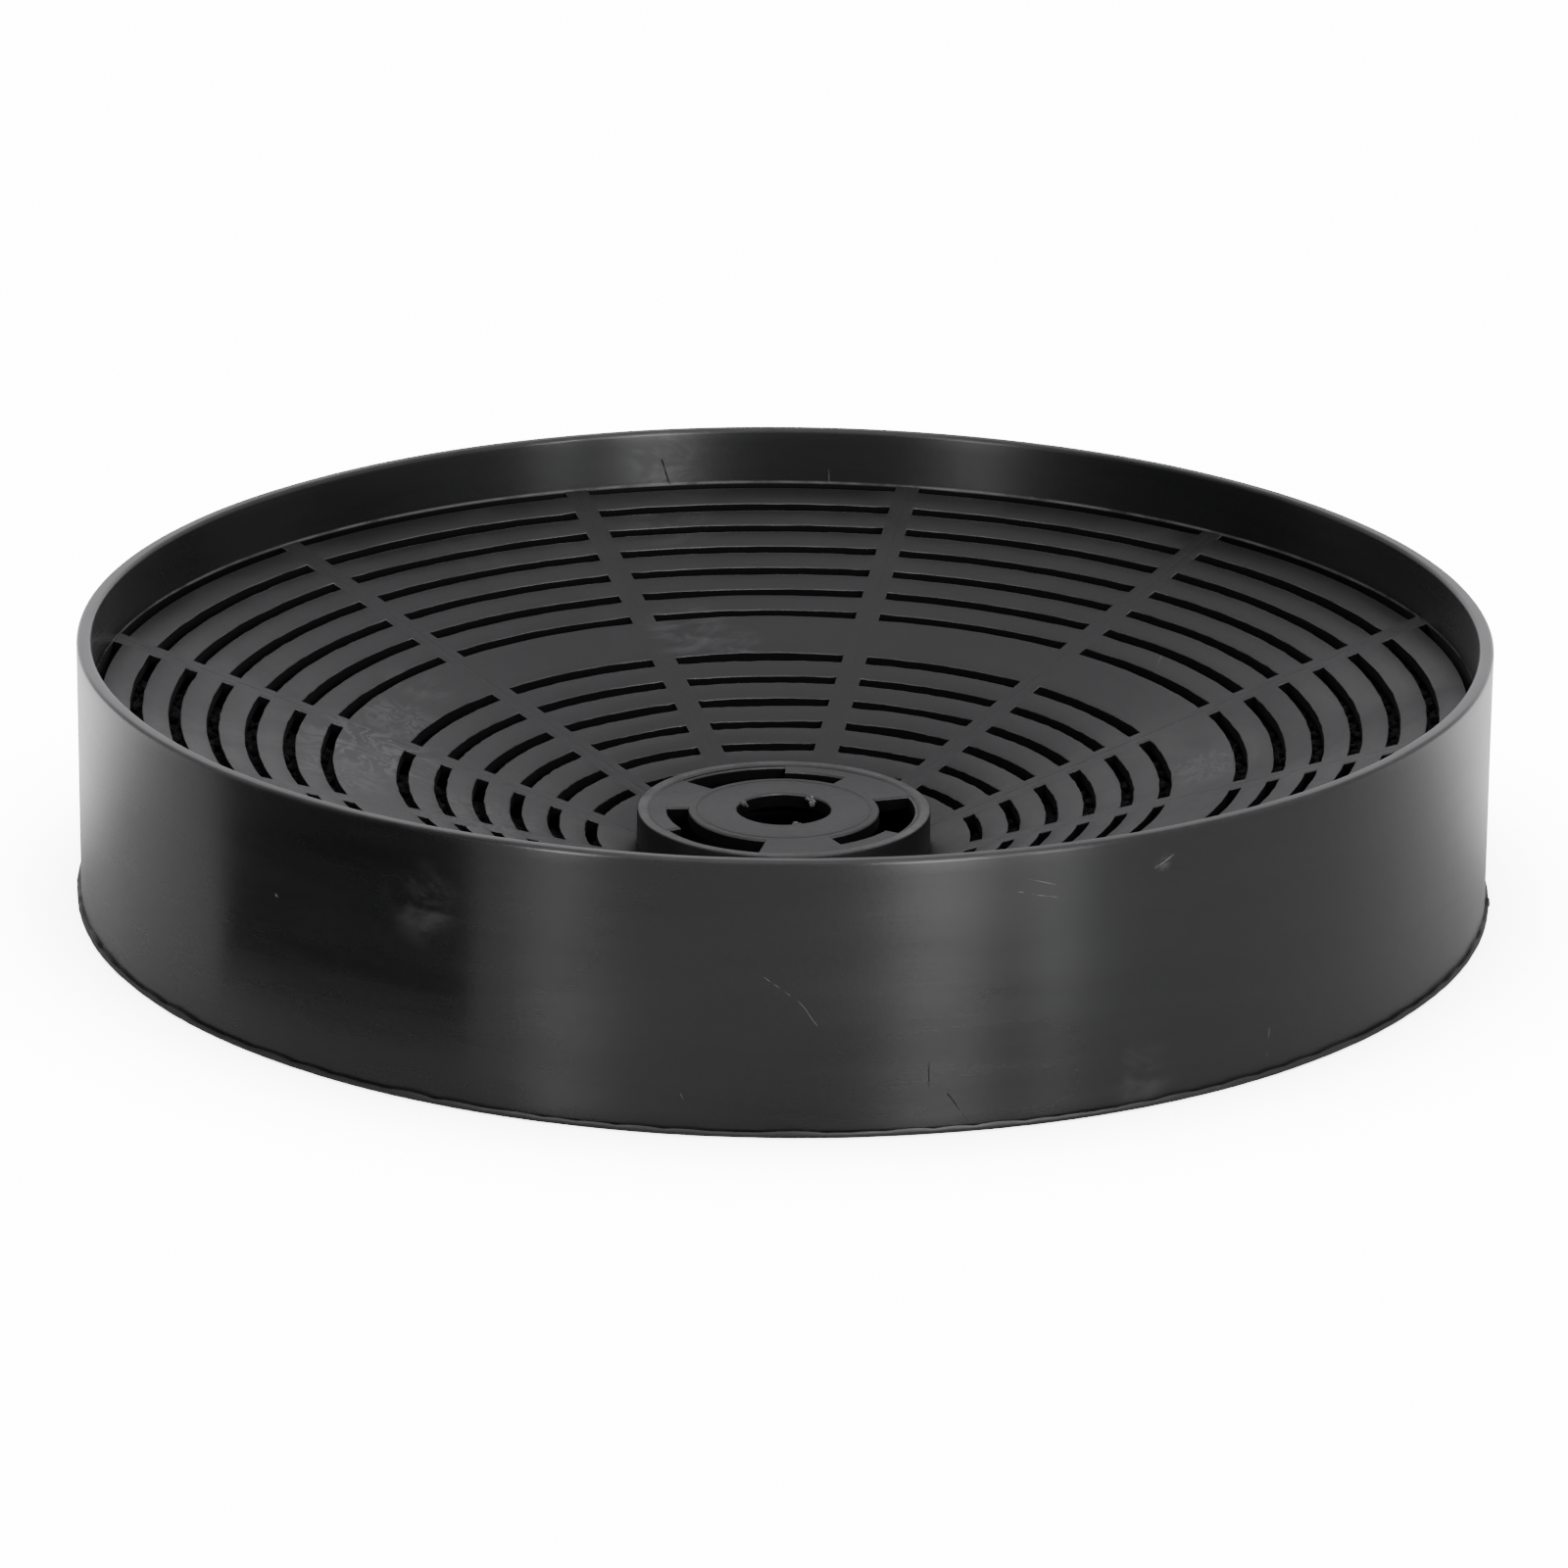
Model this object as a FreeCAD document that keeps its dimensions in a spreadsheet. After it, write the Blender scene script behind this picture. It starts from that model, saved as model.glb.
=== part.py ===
"""Round charcoal filter cartridge of a cooker hood, as a parametric document in millimetres.

A tall round casing holds a dished grille. Twelve spokes divide the grille into sectors of curved
slots. A bayonet hub with three keyholes stands in its middle. Behind the grille, a spider of ribs
parts the charcoal into twelve charges, and a dust fleece and a slotted cover close the back.

Frame: the origin is the centre of the bottom face, +Z is the axis of the cartridge and points out
of the dished side, and +X lies along a spoke.
"""

import FreeCAD, Part
import math
import os

import Sketcher

ORIGIN = FreeCAD.Vector(0, 0, 0)
UP = FreeCAD.Vector(0, 0, 1)

# Every driving size: its name in the spreadsheet, its value and its meaning.
DRIVING_SIZES = (
    ("overall_height", 40.0, "bottom face to rim land"),
    ("wall_radius", 104.2, "outside of the casing wall"),
    ("wall_thickness", 2.2, "casing wall and rim land"),
    ("rim_rounding", 0.6, "outer edge of the rim"),
    ("assembly_gap", 0.05, "room between pieces that fit into each other"),
    ("sector_count", 12, "spokes, sectors, ribs and charges"),
    ("spoke_width", 3.75, "width of a spoke"),
    ("slot_width", 1.8, "width of a curved slot, and room between granules and air"),
    ("slot_pitch", 5.58, "step from one ring of slots to the next"),
    ("outer_slot_radius", 95.6, "middle of the outermost ring of slots"),
    ("wall_slot_width", 1.3, "slot between the grille and the wall"),
    ("grille_thickness", 1.8, "height of a slat"),
    ("dish_height", 31.2, "top of the grille where it meets the wall"),
    ("dish_fall", 0.315, "fall of the dish towards the hub for each millimetre of radius"),
    ("lug_reach", 1.2, "lugs on the wall that carry the spoke ends"),
    ("lug_height", 3.0, "height of such a lug"),
    ("hub_radius", 21.8, "outside of the bayonet hub"),
    ("hub_wall", 2.1, "wall of the hub"),
    ("hub_face_height", 11.5, "top of the keyhole plate"),
    ("hub_face_thickness", 2.0, "thickness of the keyhole plate"),
    ("hub_lip", 0.4, "raised ring round the keyhole plate"),
    ("hub_rounding", 0.8, "outer edge of that ring"),
    ("hub_hole_radius", 7.0, "hole in the middle of the plate"),
    ("keyhole_inner_radius", 14.2, "inner edge of a keyhole"),
    ("keyhole_wide_radius", 19.5, "outer edge where the pin head goes in"),
    ("keyhole_narrow_radius", 17.4, "outer edge where the pin locks"),
    ("keyhole_count", 3, "keyholes round the hub"),
    ("keyhole_start", 150.0, "angle where the wide part begins, in degrees"),
    ("keyhole_step", 100.5, "angle where it narrows"),
    ("keyhole_end", 70.0, "angle where the narrow part ends"),
    ("flange_radius", 105.0, "edge of the rear cover, under the wall"),
    ("flange_thickness", 0.8, "thickness of that edge"),
    ("cover_thickness", 1.8, "slotted plate of the rear cover"),
    ("spigot_height", 3.2, "ring of the cover that stands inside the wall"),
    ("spigot_wall", 1.8, "thickness of that ring"),
    ("bead_reach", 0.35, "snap bead on the spigot"),
    ("bead_height", 3.6, "middle of the snap bead above the bottom face"),
    ("bead_half_width", 0.5, "half the height of the bead"),
    ("boss_height", 2.6, "ring of the cover that stands inside the hub"),
    ("boss_wall", 1.6, "thickness of that ring"),
    ("fleece_thickness", 0.8, "dust fleece on the rear cover"),
    ("rib_thickness", 1.6, "rib between two charges"),
    ("rib_ring", 1.5, "ring of the ribs round the hub"),
    ("charge_span", 26.0, "angle that one charge of granules fills, in degrees"),
)
# Positions of the slot rings, counted inwards in pitches: the seventh is left as a plain band.
SLOT_RINGS = (0, 1, 2, 3, 4, 5, 7, 8, 9, 10, 11, 12)

document = FreeCAD.newDocument("charcoal_filter")


class Size:
    """A number that keeps the spreadsheet formula it comes from."""

    def __init__(self, value, formula):
        self.value = value
        self.formula = formula

    def __add__(self, other):
        return Size(self.value + number(other), f"({self.formula} + {formula(other)})")

    def __sub__(self, other):
        return Size(self.value - number(other), f"({self.formula} - {formula(other)})")

    def __mul__(self, other):
        return Size(self.value * number(other), f"({self.formula} * {formula(other)})")

    def __truediv__(self, other):
        return Size(self.value / number(other), f"({self.formula} / {formula(other)})")


def number(term):
    """The plain value of a Size or of a number."""
    return term.value if isinstance(term, Size) else float(term)


def formula(term):
    """The spreadsheet formula of a Size or of a number."""
    return term.formula if isinstance(term, Size) else str(term)


def make_sizes():
    """Fill the spreadsheet and return its sizes by name."""
    sheet = document.addObject("Spreadsheet::Sheet", "Sizes")
    sizes = {}
    for row, (name, value, meaning) in enumerate(DRIVING_SIZES, start=1):
        sheet.set(f"A{row}", name)
        sheet.set(f"B{row}", str(value))
        sheet.set(f"C{row}", meaning)
        sheet.setAlias(f"B{row}", name)
        sizes[name] = Size(float(value), f"Sizes.{name}")
    document.recompute()
    return sizes


SIZES = make_sizes()
GAP = SIZES["assembly_gap"]
WALL_INSIDE = SIZES["wall_radius"] - SIZES["wall_thickness"]
HUB_INSIDE = SIZES["hub_radius"] - SIZES["hub_wall"]
SPIGOT_RADIUS = WALL_INSIDE - GAP
SPIGOT_INSIDE = SPIGOT_RADIUS - SIZES["spigot_wall"]
FLEECE_BOTTOM = SIZES["cover_thickness"] + GAP
CHARGE_BOTTOM = FLEECE_BOTTOM + SIZES["fleece_thickness"] + GAP


def dish_top(radius):
    """Height of the grille's upper face at a radius."""
    return SIZES["dish_height"] - (WALL_INSIDE - radius) * SIZES["dish_fall"]


def dish_under(radius):
    """Height just below the grille's lower face at a radius."""
    return dish_top(radius) - SIZES["grille_thickness"] - GAP


# ---------------------------------------------------------------- document helpers


def bind(target, name, size):
    """Bind a property of a feature to its spreadsheet formula."""
    target.setExpression(name, formula(size))


def new_body(name):
    """Start a sub-part: its label names its file."""
    body = document.addObject("PartDesign::Body", name)
    body.Label = name
    return body


def origin_feature(body, role):
    """One of the body's own origin planes or axes."""
    return next(item for item in body.Origin.OriginFeatures if item.Role == role)


def new_sketch(body, role):
    """Start a sketch on one of the body's own origin planes."""
    sketch = body.newObject("Sketcher::SketchObject", f"{body.Name}_sketch")
    sketch.AttachmentSupport = [(origin_feature(body, role), "")]
    sketch.MapMode = "FlatFace"
    return sketch


def add_datum(sketch, arguments, size, unit=""):
    """Add a dimension to a sketch and bind it to its formula."""
    value = math.radians(number(size)) if unit else number(size)
    index = sketch.addConstraint(Sketcher.Constraint(*arguments, value))
    sketch.setExpression(f"Constraints[{index}]", f"{formula(size)}{unit}")


def join(sketch, kind, *places):
    """Add a constraint that has no dimension."""
    sketch.addConstraint(Sketcher.Constraint(kind, *places))


def add_polygon(sketch, corners):
    """Draw a closed polygon whose corners are held at bound distances from the sketch's axes."""
    points = [FreeCAD.Vector(number(across), number(along), 0) for across, along in corners]
    following = points[1:] + points[:1]
    lines = [sketch.addGeometry(Part.LineSegment(*ends), False) for ends in zip(points, following)]
    for line, after in zip(lines, lines[1:] + lines[:1]):
        join(sketch, "Coincident", line, 2, after, 1)
    for line, (across, along) in zip(lines, corners):
        for kind, axis, distance in (("DistanceX", -2, across), ("DistanceY", -1, along)):
            if number(distance) == 0:
                join(sketch, "PointOnObject", line, 1, axis)
            else:
                add_datum(sketch, (kind, -1, 1, line, 1), distance)


def revolve(body, corners, span=None):
    """Turn a profile of radius and height corners about the axis, or through a span either side."""
    sketch = new_sketch(body, "XZ_Plane")
    add_polygon(sketch, corners)
    turned = body.newObject("PartDesign::Revolution", f"{body.Name}_turned")
    turned.Profile = sketch
    turned.ReferenceAxis = (sketch, ["V_Axis"])
    turned.Midplane = span is not None
    if span is None:
        turned.Angle = 360
    else:
        bind(turned, "Angle", span)
    document.recompute()
    return turned


def pad_across(body, corners, thickness):
    """Pad an upright profile of radius and height corners evenly to both sides of +X."""
    sketch = new_sketch(body, "XZ_Plane")
    add_polygon(sketch, corners)
    pad = body.newObject("PartDesign::Pad", f"{body.Name}_pad")
    pad.Profile = sketch
    pad.Midplane = True
    bind(pad, "Length", thickness)
    return pad


def cut_upwards(body, sketch):
    """Cut a sketch on the bottom plane through everything above it."""
    pocket = body.newObject("PartDesign::Pocket", f"{body.Name}_cut")
    pocket.Profile = sketch
    pocket.Type = "ThroughAll"
    pocket.Reversed = True
    return pocket


def repeat_round(body, feature, count):
    """Repeat a feature evenly round the axis."""
    pattern = body.newObject("PartDesign::PolarPattern", f"{body.Name}_round")
    pattern.Originals = [feature]
    pattern.Axis = (origin_feature(body, "Z_Axis"), [""])
    pattern.Angle = 360
    bind(pattern, "Occurrences", count)
    body.Tip = pattern
    document.recompute()
    return pattern


def round_edge(body, base, radius, height, rounding):
    """Round the circular edge of the given radius and height."""
    document.recompute()
    names = []
    for place, edge in enumerate(base.Shape.Edges, start=1):
        is_circle = isinstance(edge.Curve, Part.Circle)
        if is_circle and math.isclose(edge.Curve.Radius, number(radius), abs_tol=1e-6) \
                and math.isclose(edge.Curve.Center.z, number(height), abs_tol=1e-6):
            names.append(f"Edge{place}")
    fillet = body.newObject("PartDesign::Fillet", f"{body.Name}_fillet")
    fillet.Base = (base, names)
    bind(fillet, "Radius", rounding)
    document.recompute()
    return fillet


def arc_about_axis(sketch, radius, start, end):
    """Draw an arc about the sketch's origin, from one angle to the next in radians."""
    arc = Part.ArcOfCircle(Part.Circle(ORIGIN, UP, number(radius)), start, end)
    index = sketch.addGeometry(arc, False)
    join(sketch, "Coincident", index, 3, -1, 1)
    add_datum(sketch, ("Radius", index), radius)
    return index


def straight_side(sketch, first, second):
    """Close an outline with a line between two ends of curves, each a (curve, end) pair."""
    curves = sketch.Geometry
    ends = [curves[curve].StartPoint if end == 1 else curves[curve].EndPoint
            for curve, end in (first, second)]
    line = sketch.addGeometry(Part.LineSegment(*ends), False)
    join(sketch, "Coincident", line, 1, *first)
    join(sketch, "Coincident", line, 2, *second)


# ---------------------------------------------------------------- slotted sectors


def add_spoke_edges(sketch):
    """Draw the edges of the two spokes beside the sector that is centred on the X axis.

    Each is a construction line parallel to its spoke, half a spoke's width off its middle.
    """
    half_angle = math.pi / number(SIZES["sector_count"])
    along = FreeCAD.Vector(math.cos(half_angle), math.sin(half_angle), 0)
    inwards = FreeCAD.Vector(math.sin(half_angle), -math.cos(half_angle), 0)
    shift = inwards * (number(SIZES["spoke_width"]) / 2)
    ends = [along * number(reach) + shift for reach in (SIZES["hub_radius"], SIZES["wall_radius"])]
    left = sketch.addGeometry(Part.LineSegment(*ends), True)
    mirrored = [FreeCAD.Vector(end.x, -end.y, 0) for end in ends]
    right = sketch.addGeometry(Part.LineSegment(*mirrored), True)
    add_datum(sketch, ("Angle", left), Size(180.0, "180") / SIZES["sector_count"], " * 1 deg")
    add_datum(sketch, ("Distance", -1, 1, left), SIZES["spoke_width"] / 2)
    for end, place in zip((1, 2), ends):
        join(sketch, "DistanceX", -1, 1, left, end, place.x)
        join(sketch, "Symmetric", left, end, right, end, -1)
    return left, right


def add_slot(sketch, left, right, inner, outer):
    """Draw one curved slot between two radii, with ends along the spoke edges."""
    arcs = []
    for radius in (outer, inner):
        half_angle = math.pi / number(SIZES["sector_count"])
        turn = half_angle - math.asin(number(SIZES["spoke_width"]) / 2 / number(radius))
        arc = arc_about_axis(sketch, radius, -turn, turn)
        join(sketch, "PointOnObject", arc, 1, right)
        join(sketch, "PointOnObject", arc, 2, left)
        arcs.append(arc)
    for end in (1, 2):
        straight_side(sketch, (arcs[0], end), (arcs[1], end))


def cut_slots(body, extra=()):
    """Cut the rings of curved slots, and any extra (inner, outer) slots, into every sector."""
    sketch = new_sketch(body, "XY_Plane")
    left, right = add_spoke_edges(sketch)
    half = SIZES["slot_width"] / 2
    middles = [SIZES["outer_slot_radius"] - SIZES["slot_pitch"] * ring for ring in SLOT_RINGS]
    for inner, outer in [(middle - half, middle + half) for middle in middles] + list(extra):
        add_slot(sketch, left, right, inner, outer)
    half_sector = Size(180.0, "180") / SIZES["sector_count"]
    bind(sketch, "AttachmentOffset.Rotation.Angle", half_sector)
    return repeat_round(body, cut_upwards(body, sketch), SIZES["sector_count"])


# ---------------------------------------------------------------- sub-parts


def make_casing_wall():
    """The round wall: rim land at the top, snap groove at the foot, lugs under the spoke ends."""
    body = new_body("casing_wall")
    outside, top, foot = SIZES["wall_radius"], SIZES["overall_height"], SIZES["flange_thickness"]
    groove = WALL_INSIDE + SIZES["bead_reach"] + GAP
    groove_low = SIZES["bead_height"] - SIZES["bead_half_width"] - GAP
    groove_high = SIZES["bead_height"] + SIZES["bead_half_width"] + GAP
    ring = revolve(body, [
        (WALL_INSIDE, foot), (outside, foot), (outside, top), (WALL_INSIDE, top),
        (WALL_INSIDE, groove_high), (groove, SIZES["bead_height"] + GAP),
        (groove, SIZES["bead_height"] - GAP), (WALL_INSIDE, groove_low)])
    round_edge(body, ring, outside, top, SIZES["rim_rounding"])
    inner, outer = WALL_INSIDE - SIZES["lug_reach"], WALL_INSIDE + SIZES["wall_thickness"] / 2
    lug = pad_across(body, [
        (inner, dish_under(inner) - SIZES["lug_height"]),
        (outer, dish_under(inner) - SIZES["lug_height"] - SIZES["lug_reach"]),
        (outer, dish_under(outer)), (inner, dish_under(inner))], SIZES["spoke_width"])
    repeat_round(body, lug, SIZES["sector_count"])
    return body


def make_front_grille():
    """The dish: a cone of twelve slotted sectors between spokes, falling towards the hub."""
    body = new_body("front_grille")
    inner, outer = SIZES["hub_radius"] + GAP, WALL_INSIDE - GAP
    depth = SIZES["grille_thickness"]
    revolve(body, [
        (inner, dish_top(inner) - depth), (outer, dish_top(outer) - depth),
        (outer, dish_top(outer)), (inner, dish_top(inner))])
    cut_slots(body, extra=[(WALL_INSIDE - SIZES["wall_slot_width"], SIZES["wall_radius"])])
    return body


def add_keyhole(sketch):
    """Draw a keyhole: a curved slot that is wide where the pin goes in and narrow where it locks."""
    inner, wide = SIZES["keyhole_inner_radius"], SIZES["keyhole_wide_radius"]
    narrow = SIZES["keyhole_narrow_radius"]
    rays = {}
    for name in ("keyhole_start", "keyhole_step", "keyhole_end"):
        angle = math.radians(number(SIZES[name]))
        tip = FreeCAD.Vector(math.cos(angle), math.sin(angle), 0) * number(HUB_INSIDE)
        ray = sketch.addGeometry(Part.LineSegment(ORIGIN, tip), True)
        join(sketch, "Coincident", ray, 1, -1, 1)
        add_datum(sketch, ("Angle", ray), SIZES[name], " * 1 deg")
        add_datum(sketch, ("Distance", ray), HUB_INSIDE)
        rays[name] = (ray, angle)
    arcs = []
    for radius, low, high in ((wide, "keyhole_step", "keyhole_start"),
                              (narrow, "keyhole_end", "keyhole_step"),
                              (inner, "keyhole_end", "keyhole_start")):
        arc = arc_about_axis(sketch, radius, rays[low][1], rays[high][1])
        join(sketch, "PointOnObject", arc, 1, rays[low][0])
        join(sketch, "PointOnObject", arc, 2, rays[high][0])
        arcs.append(arc)
    wide_arc, narrow_arc, inner_arc = arcs
    straight_side(sketch, (wide_arc, 2), (inner_arc, 2))
    straight_side(sketch, (wide_arc, 1), (narrow_arc, 2))
    straight_side(sketch, (narrow_arc, 1), (inner_arc, 1))


def make_bayonet_hub():
    """The hub: a cup upside down, with a raised lip, a middle hole and three keyholes."""
    body = new_body("bayonet_hub")
    outside, face = SIZES["hub_radius"], SIZES["hub_face_height"]
    under, lip = face - SIZES["hub_face_thickness"], face + SIZES["hub_lip"]
    cup = revolve(body, [
        (SIZES["hub_hole_radius"], under), (HUB_INSIDE, under), (HUB_INSIDE, FLEECE_BOTTOM),
        (outside, FLEECE_BOTTOM), (outside, lip), (HUB_INSIDE, lip), (HUB_INSIDE, face),
        (SIZES["hub_hole_radius"], face)])
    round_edge(body, cup, outside, lip, SIZES["hub_rounding"])
    sketch = new_sketch(body, "XY_Plane")
    add_keyhole(sketch)
    repeat_round(body, cut_upwards(body, sketch), SIZES["keyhole_count"])
    return body


def make_partition_frame():
    """The spider: a ring round the hub and one rib under each spoke, to part the charges."""
    body = new_body("partition_frame")
    inner = SIZES["hub_radius"] + GAP * 2
    ring, outer = inner + SIZES["rib_ring"], SPIGOT_INSIDE - GAP * 4
    revolve(body, [
        (inner, CHARGE_BOTTOM), (ring, CHARGE_BOTTOM), (ring, dish_under(ring)),
        (inner, dish_under(inner))])
    root = inner + SIZES["rib_ring"] / 2
    rib = pad_across(body, [
        (root, CHARGE_BOTTOM), (outer, CHARGE_BOTTOM), (outer, dish_under(outer) - GAP),
        (root, dish_under(root) - GAP)], SIZES["rib_thickness"])
    repeat_round(body, rib, SIZES["sector_count"])
    return body


def make_rear_cover():
    """The slotted back: flange under the wall, spigot with snap bead, and boss inside the hub."""
    body = new_body("rear_cover")
    plate, flange = SIZES["cover_thickness"], SIZES["flange_thickness"]
    bead, half = SIZES["bead_height"], SIZES["bead_half_width"]
    spigot_top = plate + SIZES["spigot_height"]
    boss_radius, boss_top = HUB_INSIDE - GAP, plate + SIZES["boss_height"]
    boss_inside = boss_radius - SIZES["boss_wall"]
    revolve(body, [
        (0, 0), (SIZES["flange_radius"], 0), (SIZES["flange_radius"], flange),
        (SPIGOT_RADIUS, flange), (SPIGOT_RADIUS, bead - half),
        (SPIGOT_RADIUS + SIZES["bead_reach"], bead), (SPIGOT_RADIUS, bead + half),
        (SPIGOT_RADIUS, spigot_top), (SPIGOT_INSIDE, spigot_top), (SPIGOT_INSIDE, plate),
        (boss_radius, plate), (boss_radius, boss_top), (boss_inside, boss_top),
        (boss_inside, plate), (0, plate)])
    cut_slots(body)
    return body


def make_dust_fleece():
    """The fleece: a thin flat ring that lies on the rear cover and holds back dust."""
    body = new_body("dust_fleece")
    inner, outer = SIZES["hub_radius"] + GAP * 2, SPIGOT_INSIDE - GAP * 4
    top = FLEECE_BOTTOM + SIZES["fleece_thickness"]
    revolve(body, [(inner, FLEECE_BOTTOM), (outer, FLEECE_BOTTOM), (outer, top), (inner, top)])
    return body


def make_charge(place):
    """One charge of granules: a wedge under its sector, turned to its place round the hub."""
    body = new_body(f"charcoal_charge_{place + 1:02d}")
    inner = SIZES["hub_radius"] + SIZES["rib_ring"] + GAP * 6
    outer = SPIGOT_INSIDE - GAP * 6
    revolve(body, [
        (inner, CHARGE_BOTTOM), (outer, CHARGE_BOTTOM), (outer, dish_under(outer) - GAP),
        (inner, dish_under(inner) - GAP)], span=SIZES["charge_span"])
    sector = 360 / number(SIZES["sector_count"])
    body.Placement = FreeCAD.Placement(ORIGIN, FreeCAD.Rotation(UP, sector * (place + 0.5)))
    return body


def check_document():
    """Stop if any object of the document failed to compute."""
    for item in document.Objects:
        if "Invalid" in item.State or "Error" in item.State:
            raise RuntimeError(f"{item.Label} failed: {item.State}")


def write_parts(bodies):
    """Check every sub-part and write it to its own file."""
    os.makedirs("parts", exist_ok=True)
    for body in bodies:
        shape = body.Shape
        if shape.isNull() or not shape.isValid():
            raise RuntimeError(f"{body.Label} has no valid shape")
        shape.exportStep(f"parts/{body.Label}.step")
        print(f"{body.Label}: {len(shape.Solids)} solid, {shape.Volume / 1000:.2f} cm3")


def main():
    """Build every sub-part, check it and write it."""
    bodies = [make_casing_wall(), make_front_grille(), make_bayonet_hub(),
              make_partition_frame(), make_rear_cover(), make_dust_fleece()]
    bodies += [make_charge(place) for place in range(int(number(SIZES["sector_count"])))]
    document.recompute()
    check_document()
    write_parts(bodies)


main()
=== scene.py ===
"""Looks of a round charcoal filter cartridge for a cooker hood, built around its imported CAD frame.

The cartridge stands on its closed side. Z is its axis, X runs along a spoke of the grille.
"""

import logging
import math
from dataclasses import dataclass, field
from enum import Enum
from typing import ClassVar

import bmesh
import bpy
import numpy as np
from mathutils import Matrix, Vector


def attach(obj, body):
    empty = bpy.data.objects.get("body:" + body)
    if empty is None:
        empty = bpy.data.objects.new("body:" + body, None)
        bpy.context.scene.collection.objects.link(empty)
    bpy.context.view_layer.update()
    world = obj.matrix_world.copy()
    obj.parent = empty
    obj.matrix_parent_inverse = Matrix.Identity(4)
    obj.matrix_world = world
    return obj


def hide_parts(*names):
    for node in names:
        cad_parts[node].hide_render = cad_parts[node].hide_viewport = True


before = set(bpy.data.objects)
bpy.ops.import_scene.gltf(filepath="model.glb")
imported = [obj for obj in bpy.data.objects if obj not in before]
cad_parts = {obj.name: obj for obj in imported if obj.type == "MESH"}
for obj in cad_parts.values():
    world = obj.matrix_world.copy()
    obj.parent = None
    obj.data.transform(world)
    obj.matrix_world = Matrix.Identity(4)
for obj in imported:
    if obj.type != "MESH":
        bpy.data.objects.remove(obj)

LOG = logging.getLogger("filter_cartridge")
MM = 0.001
TURN = 2.0 * math.pi

# Places closer than this count as the same, in millimetres.
TOUCH = 0.01
# Where a rounded edge has its rows of points, as shares of its rounding.
EDGE_STEPS = np.array([0.0, 0.18, 0.5, 1.0])


# ---------------------------------------------------------------- shared shape tools


@dataclass(frozen=True)
class Unevenness:
    """A gentle seeded unevenness round the axis, which closes on itself.

    Attributes:
        seed: Number that fixes the run of the unevenness.
        height: Largest usual departure, in metres.
        slowest: Fewest waves in one turn.
        fastest: Most waves in one turn.
    """

    seed: int
    height: float
    slowest: int
    fastest: int
    waves: ClassVar[int] = 9

    def at(self, angle: np.ndarray, along: np.ndarray | float = 0.0) -> np.ndarray:
        """Adds up cosine waves of the angle, each sliding as the second coordinate grows.

        Args:
            angle: Angles about the axis, in radians.
            along: Second coordinate, in radians of phase.

        Returns:
            The departure at each point, in metres.
        """
        rng = np.random.default_rng(self.seed)
        paces = rng.integers(self.slowest, self.fastest + 1, self.waves)
        phases = rng.uniform(0.0, TURN, self.waves)
        slides = rng.uniform(-1.0, 1.0, self.waves)
        total = sum(np.cos(n * angle + p + s * along) for n, p, s in zip(paces, phases, slides))
        return self.height * total / (0.5 * self.waves)


Numbers = np.ndarray | float
Spans = list[tuple[float, float]]


def on_circle(radius: Numbers, angle: Numbers, height: Numbers) -> np.ndarray:
    """Turns radius, angle and height into x, y, z: r cos a, r sin a, z.

    Args:
        radius: Distances from the axis, in metres.
        angle: Angles about the axis, in radians.
        height: Heights, in metres.

    Returns:
        Points, with x, y and z in the last direction of the array.
    """
    radius, angle, height = np.broadcast_arrays(radius, angle, height)
    return np.stack([radius * np.cos(angle), radius * np.sin(angle), height], -1)


def grid_faces(rows: int, cols: int, ring: bool = True, loop: bool = False) -> np.ndarray:
    """Four-sided faces between neighbouring rows and columns of a grid of points.

    A face faces the way that row direction crossed with column direction points.

    Args:
        rows: Number of rows.
        cols: Number of columns.
        ring: Whether the last column joins the first.
        loop: Whether the last row joins the first.

    Returns:
        Point numbers, one face for each row gap and column gap.
    """
    i, j = np.meshgrid(
        np.arange(rows if loop else rows - 1), np.arange(cols if ring else cols - 1), indexing="ij"
    )
    below, right = (i + 1) % rows, (j + 1) % cols
    return np.stack([i * cols + j, below * cols + j, below * cols + right, i * cols + right], -1)


def free_edges(faces: np.ndarray) -> np.ndarray:
    """Edges that only one face uses, in the order that face runs along them.

    Args:
        faces: Four-sided faces as point numbers.

    Returns:
        Pairs of point numbers.
    """
    pairs = np.stack([faces, np.roll(faces, -1, 1)], -1).reshape(-1, 2)
    span = int(faces.max()) + 1
    ahead = pairs[:, 0] * span + pairs[:, 1]
    back = pairs[:, 1] * span + pairs[:, 0]
    return pairs[~np.isin(ahead, back)]


def round_corners(corners: list[tuple[float, float, float]], steps: int = 5) -> np.ndarray:
    """A closed outline with its corners rounded by arcs that touch both sides.

    Each arc starts and ends at radius / tan(half the corner's angle) from the corner.

    Args:
        corners: Radius, height and rounding of each corner, in millimetres.
        steps: Number of parts that each arc is divided into.

    Returns:
        Radius and height of each outline point, in metres.
    """
    table = np.array(corners, float)
    outline = []
    for k in range(len(table)):
        here, before, after = table[k, :2], table[k - 1, :2], table[(k + 1) % len(table), :2]
        rounding = table[k, 2]
        if rounding <= 0.0:
            outline.append(here[None])
            continue
        to_before = (before - here) / np.linalg.norm(before - here)
        to_after = (after - here) / np.linalg.norm(after - here)
        half = 0.5 * math.acos(float(np.clip(to_before @ to_after, -1.0, 1.0)))
        inward = (to_before + to_after) / np.linalg.norm(to_before + to_after)
        centre = here + inward * rounding / math.sin(half)
        start = here + to_before * rounding / math.tan(half) - centre
        end = here + to_after * rounding / math.tan(half) - centre
        share = np.linspace(0.0, 1.0, steps + 1)[:, None]
        opening = math.pi - 2.0 * half
        arc = (np.sin((1 - share) * opening) * start + np.sin(share * opening) * end) / math.sin(opening)
        outline.append(centre + arc)
    return np.concatenate(outline) * MM


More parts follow.
